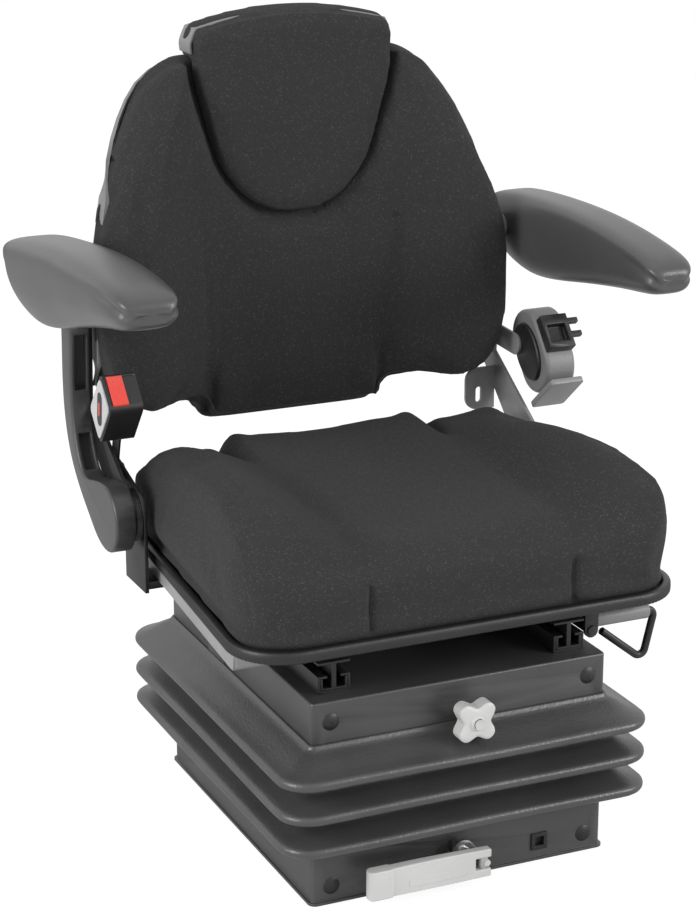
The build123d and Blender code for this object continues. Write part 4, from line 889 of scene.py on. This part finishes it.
# Armrests: an arched pad with a groove round its front, set differently on each side as in the photo
armrest = {
    "inner": 248, "y": 217, "pins": {"left": 549, "right": 550}, "tilts": {"left": 3.6, "right": -1.1}, "around": 48,
    "leftWider": 6, "leftLonger": 5, "grooveDown": 12, "grooveDepth": 3.0, "grooveWidth": 3.2, "tuck": 0.10,
    "rows": [  # along the arm: distance from the pin, low and high edge, inner and outer edge
        (45, 16, 26, 10, 52), (43, 12, 30, 6, 57), (40, 10, 34, 3, 60.5), (36, 8, 37, 1.4, 62),
        (31, 5, 39.5, 0.8, 62.5), (28, -10, 40.5, 0.6, 62.6), (22, -22, 41.8, 0.4, 62.8), (8, -31, 44, 0, 63),
        (-20, -38, 47, 0, 63.2),
        (-48, -41, 49, 0, 63.5), (-80, -38, 50.5, 0, 63.8), (-120, -31, 51.5, 0.2, 64), (-160, -23, 51, 0.4, 64),
        (-200, -16, 49, 0.8, 63.6), (-240, -9.5, 45.2, 1.6, 62.6), (-272, -5.5, 40.8, 2.6, 61.6),
        (-290, -3, 37.4, 3.6, 60.4), (-300, -1, 34.5, 4.8, 58.6), (-307, 1.5, 31.5, 7, 55.8), (-312.5, 5, 27, 11, 51.5),
        (-314.5, 9.5, 22, 17, 45.5),
    ],
}


def armrestForm(side):
    node = side + "_armrest"
    bm = bmesh.new()
    rows = []
    for y, low, high, inner, outer in armrest["rows"]:
        if side == "left":  # this pad grows wider and longer towards its front
            inner -= armrest["leftWider"] * smoothStep(60, 200, -y)
            outer += armrest["leftWider"] * 0.6
            y -= armrest["leftLonger"] * smoothStep(200, 300, -y)
        verts = []
        halfW, halfH = (outer - inner) / 2, (high - low) / 2
        middleX, middleZ = (inner + outer) / 2, (high + low) / 2
        for i in range(armrest["around"]):
            a = math.tau * (i + 0.5) / armrest["around"]
            c, s = math.cos(a), math.sin(a)
            power = 0.5 if s > 0 else 0.6
            x = math.copysign(abs(c) ** power, c) * halfW
            z = math.copysign(abs(s) ** power, s) * halfH
            if s < 0:  # the lower body draws in under the pad
                x *= 1 - armrest["tuck"] * smoothStep(0.1, 0.9, -z / halfH)
            groove = -dent(middleZ + z - high + armrest["grooveDown"], armrest["grooveWidth"], armrest["grooveDepth"])
            groove *= smoothStep(225, 290, -y)
            x -= math.copysign(groove, x) * abs(c) ** 0.5
            back = groove * smoothStep(296, 308, -y)
            verts.append(bm.verts.new(scaled((middleX + x, y + back, middleZ + z))))
        rows.append(row(bm, verts))
    bridge(bm, rows)
    capEnds(bm)
    for end in [f for f in bm.faces if len(f.verts) > 4]:
        bmesh.ops.inset_individual(bm, faces=[end], thickness=4 * mm, depth=0.6 * mm)
    tilt = Matrix.Rotation(math.radians(-armrest["tilts"][side]), 3, "X")
    bmesh.ops.rotate(bm, verts=bm.verts, cent=(0, 0, 0), matrix=tilt)
    bmesh.ops.translate(bm, verts=bm.verts, vec=scaled((armrest["inner"], armrest["y"], armrest["pins"][side])))
    if side == "left":
        bmesh.ops.scale(bm, verts=bm.verts, vec=(-1, 1, 1))
    bmesh.ops.recalc_face_normals(bm, faces=bm.faces)
    sub = addPiece(camel(node), bm, node, "armrest_skin", [node]).modifiers.new("smooth", "SUBSURF")
    sub.levels = sub.render_levels = 2


for side in ("left", "right"):
    armrestForm(side)
print("armrests lofted")


# Rear shell
def shellLine(z):  # from the right rim round the back to the middle, cut at the outline's half width
    half, cut = between(shell["halves"], z), between(shell["outline"], z)
    power, bulge = 2 / shell["bow"], shell["rear"] - shell["straight"]
    dense = [Vector((half, shell["rim"])), Vector((half, shell["straight"]))]
    for i in range(1, 81):
        a = math.radians(90 * i / 80)
        dense.append(Vector((half * math.cos(a) ** power, shell["straight"] + bulge * math.sin(a) ** power)))
    line = [p for p in dense if p.x <= cut + 1e-6]
    if cut < half:
        after, before = line[0], dense[len(dense) - len(line) - 1]
        line.insert(0, before.lerp(after, (before.x - cut) / max(before.x - after.x, 1e-9)))
    total = sum((b - a).length for a, b in zip(line, line[1:]))
    points = evenPoints(line, shell["points"], total / (shell["points"] - 1))
    return points + [line[-1]] * (shell["points"] - len(points))


bm = bmesh.new()
rows = []
for z, _ in shell["outline"]:
    right = [(p.x, p.y) for p in shellLine(z)]
    line = right + [(-x, y) for x, y in reversed(right[:-1])]
    rows.append(row(bm, [bm.verts.new(scaled((x, y, z))) for x, y in line], closed=False))
bridge(bm, rows)
bmesh.ops.recalc_face_normals(bm, faces=bm.faces)
if sum(f.normal.y * f.calc_area() for f in bm.faces) < 0:  # the outside looks to the rear
    bmesh.ops.reverse_faces(bm, faces=bm.faces)
backShell = addPiece("backShell", bm, "backrest", "grey_plastic", ["backrest_shell"])
wall = backShell.modifiers.new("wall", "SOLIDIFY")
wall.thickness, wall.offset = shell["wall"] * mm, -1
softenEdges(backShell, shell["edge"] * mm, 2, 50)
print("shell bowed")

# Belt buckle, leaning on a bent strap
buckle = {
    "x": -238.5, "y": 123.5, "z": 431.3, "lean": 39, "wide": 35, "deep": 44, "tall": 58, "slant": 3, "round": 7,
    "rim": (1.8, -1.4), "buttonX": -5.5, "button": (16.5, 34, 10), "buttonUp": 1.6, "plate": (1.8, 38, 52),
    "plateRim": (3.2, -0.6), "window": (13, 36, 0.8), "flag": (3.4, 15, 0.7), "windowOut": 0.35, "flagOut": 0.8,
    "windowTurn": -33, "strapX": -231.6, "strapWide": 18, "strapThick": 2.6, "strapSteps": 12, "eye": 11,
    "anchor": (156.6, 352.3), "strapBend": (151, 388), "strapEnd": (136.5, 415.5),
}


def buckleBlock(size, centre, roundness, segments=4):  # edges along X rounded, in the buckle's own frame
    bm = block(size, centre, (0, roundness, segments))
    for v in bm.verts:
        v.co.z += buckle["slant"] * v.co.y / (buckle["deep"] / 2)
    return bm


def onBuckle(bm):  # lean it over and put it at its place
    lean = Matrix.Rotation(math.radians(buckle["lean"]), 3, "X")
    bmesh.ops.rotate(bm, verts=bm.verts, cent=(0, 0, 0), matrix=lean)
    bmesh.ops.translate(bm, verts=bm.verts, vec=scaled((buckle["x"], buckle["y"], buckle["z"])))
    return bm


def sunkRim(bm, face, rim):
    bmesh.ops.inset_individual(bm, faces=[face], thickness=rim[0] * mm, depth=rim[1] * mm)


bm = buckleBlock((buckle["wide"], buckle["deep"], buckle["tall"]), (0, 0, 0), buckle["round"])
sunkRim(bm, highestFace(bm), buckle["rim"])
softenEdges(addPiece("buckleCase", onBuckle(bm), "buckle", "black_plastic", ["buckle_case"]), 0.7 * mm)

buttonZ = buckle["tall"] / 2 + buckle["buttonUp"] - buckle["button"][2] / 2
bm = buckleBlock(buckle["button"], (buckle["buttonX"], 0, buttonZ), 2, 3)
softenEdges(addPiece("buckleButton", onBuckle(bm), "buckle_button", "red_plastic", ["buckle_button"]), 0.8 * mm, 3)

plateX = -(buckle["wide"] + buckle["plate"][0]) / 2
bm = buckleBlock(buckle["plate"], (plateX, 0, 0), 6, 5)
sunkRim(bm, min(bm.faces, key=lambda f: f.calc_center_median().x), buckle["plateRim"])
plate = addPiece("bucklePlate", onBuckle(bm), "buckle", "pale_plastic", ["buckle_side_plate"])
plate.data.materials[0] = plateSteel
softenEdges(plate, 0.4 * mm)


def diagonalOval(size, x):  # a slot's outline standing on the buckle's side
    wide, tall, thick = size
    bm = block((thick, wide, tall), (0, 0, 0), (0, 0.49 * wide, 6))
    turn = Matrix.Rotation(math.radians(buckle["windowTurn"]), 3, "X")
    bmesh.ops.rotate(bm, verts=bm.verts, cent=(0, 0, 0), matrix=turn)
    bmesh.ops.translate(bm, verts=bm.verts, vec=(x * mm, 0, 0))
    return onBuckle(bm)


window = diagonalOval(buckle["window"], plateX - buckle["windowOut"])
softenEdges(addPiece("buckleWindow", window, "buckle", "black_plastic"), 0.2 * mm)
flag = diagonalOval(buckle["flag"], plateX - buckle["flagOut"])
softenEdges(addPiece("buckleFlag", flag, "buckle", "red_plastic"), 0.2 * mm)

bm = bmesh.new()
rows = []
start, bend, finish = (Vector(buckle[key]) for key in ("anchor", "strapBend", "strapEnd"))
for i in range(buckle["strapSteps"] + 1):
    t = i / buckle["strapSteps"]
    here = start * (1 - t) ** 2 + bend * (2 * t * (1 - t)) + finish * t ** 2
    along = ((bend - start) * (1 - t) + (finish - bend) * t).normalized()
    across = Vector((-along.y, along.x)) * (buckle["strapWide"] / 2)
    verts = []
    for way, x in ((1, -1), (1, 1), (-1, 1), (-1, -1)):
        place = here + across * way
        verts.append(bm.verts.new(scaled((buckle["strapX"] + x * buckle["strapThick"] / 2, place.x, place.y))))
    rows.append(row(bm, verts))
bridge(bm, rows)
capEnds(bm)
radius, thick = buckle["eye"] * mm, buckle["strapThick"] * 0.98 * mm
made = bmesh.ops.create_cone(bm, cap_ends=True, segments=40, radius1=radius, radius2=radius, depth=thick)
eye = made["verts"]
bmesh.ops.rotate(bm, verts=eye, cent=(0, 0, 0), matrix=Matrix.Rotation(math.radians(90), 3, "Y"))
bmesh.ops.translate(bm, verts=eye, vec=scaled((buckle["strapX"], *buckle["anchor"])))
bmesh.ops.recalc_face_normals(bm, faces=bm.faces)
softenEdges(addPiece("buckleStrap", bm, "buckle", "black_plastic", ["buckle_stalk"]), 0.3 * mm)
print("buckle built")
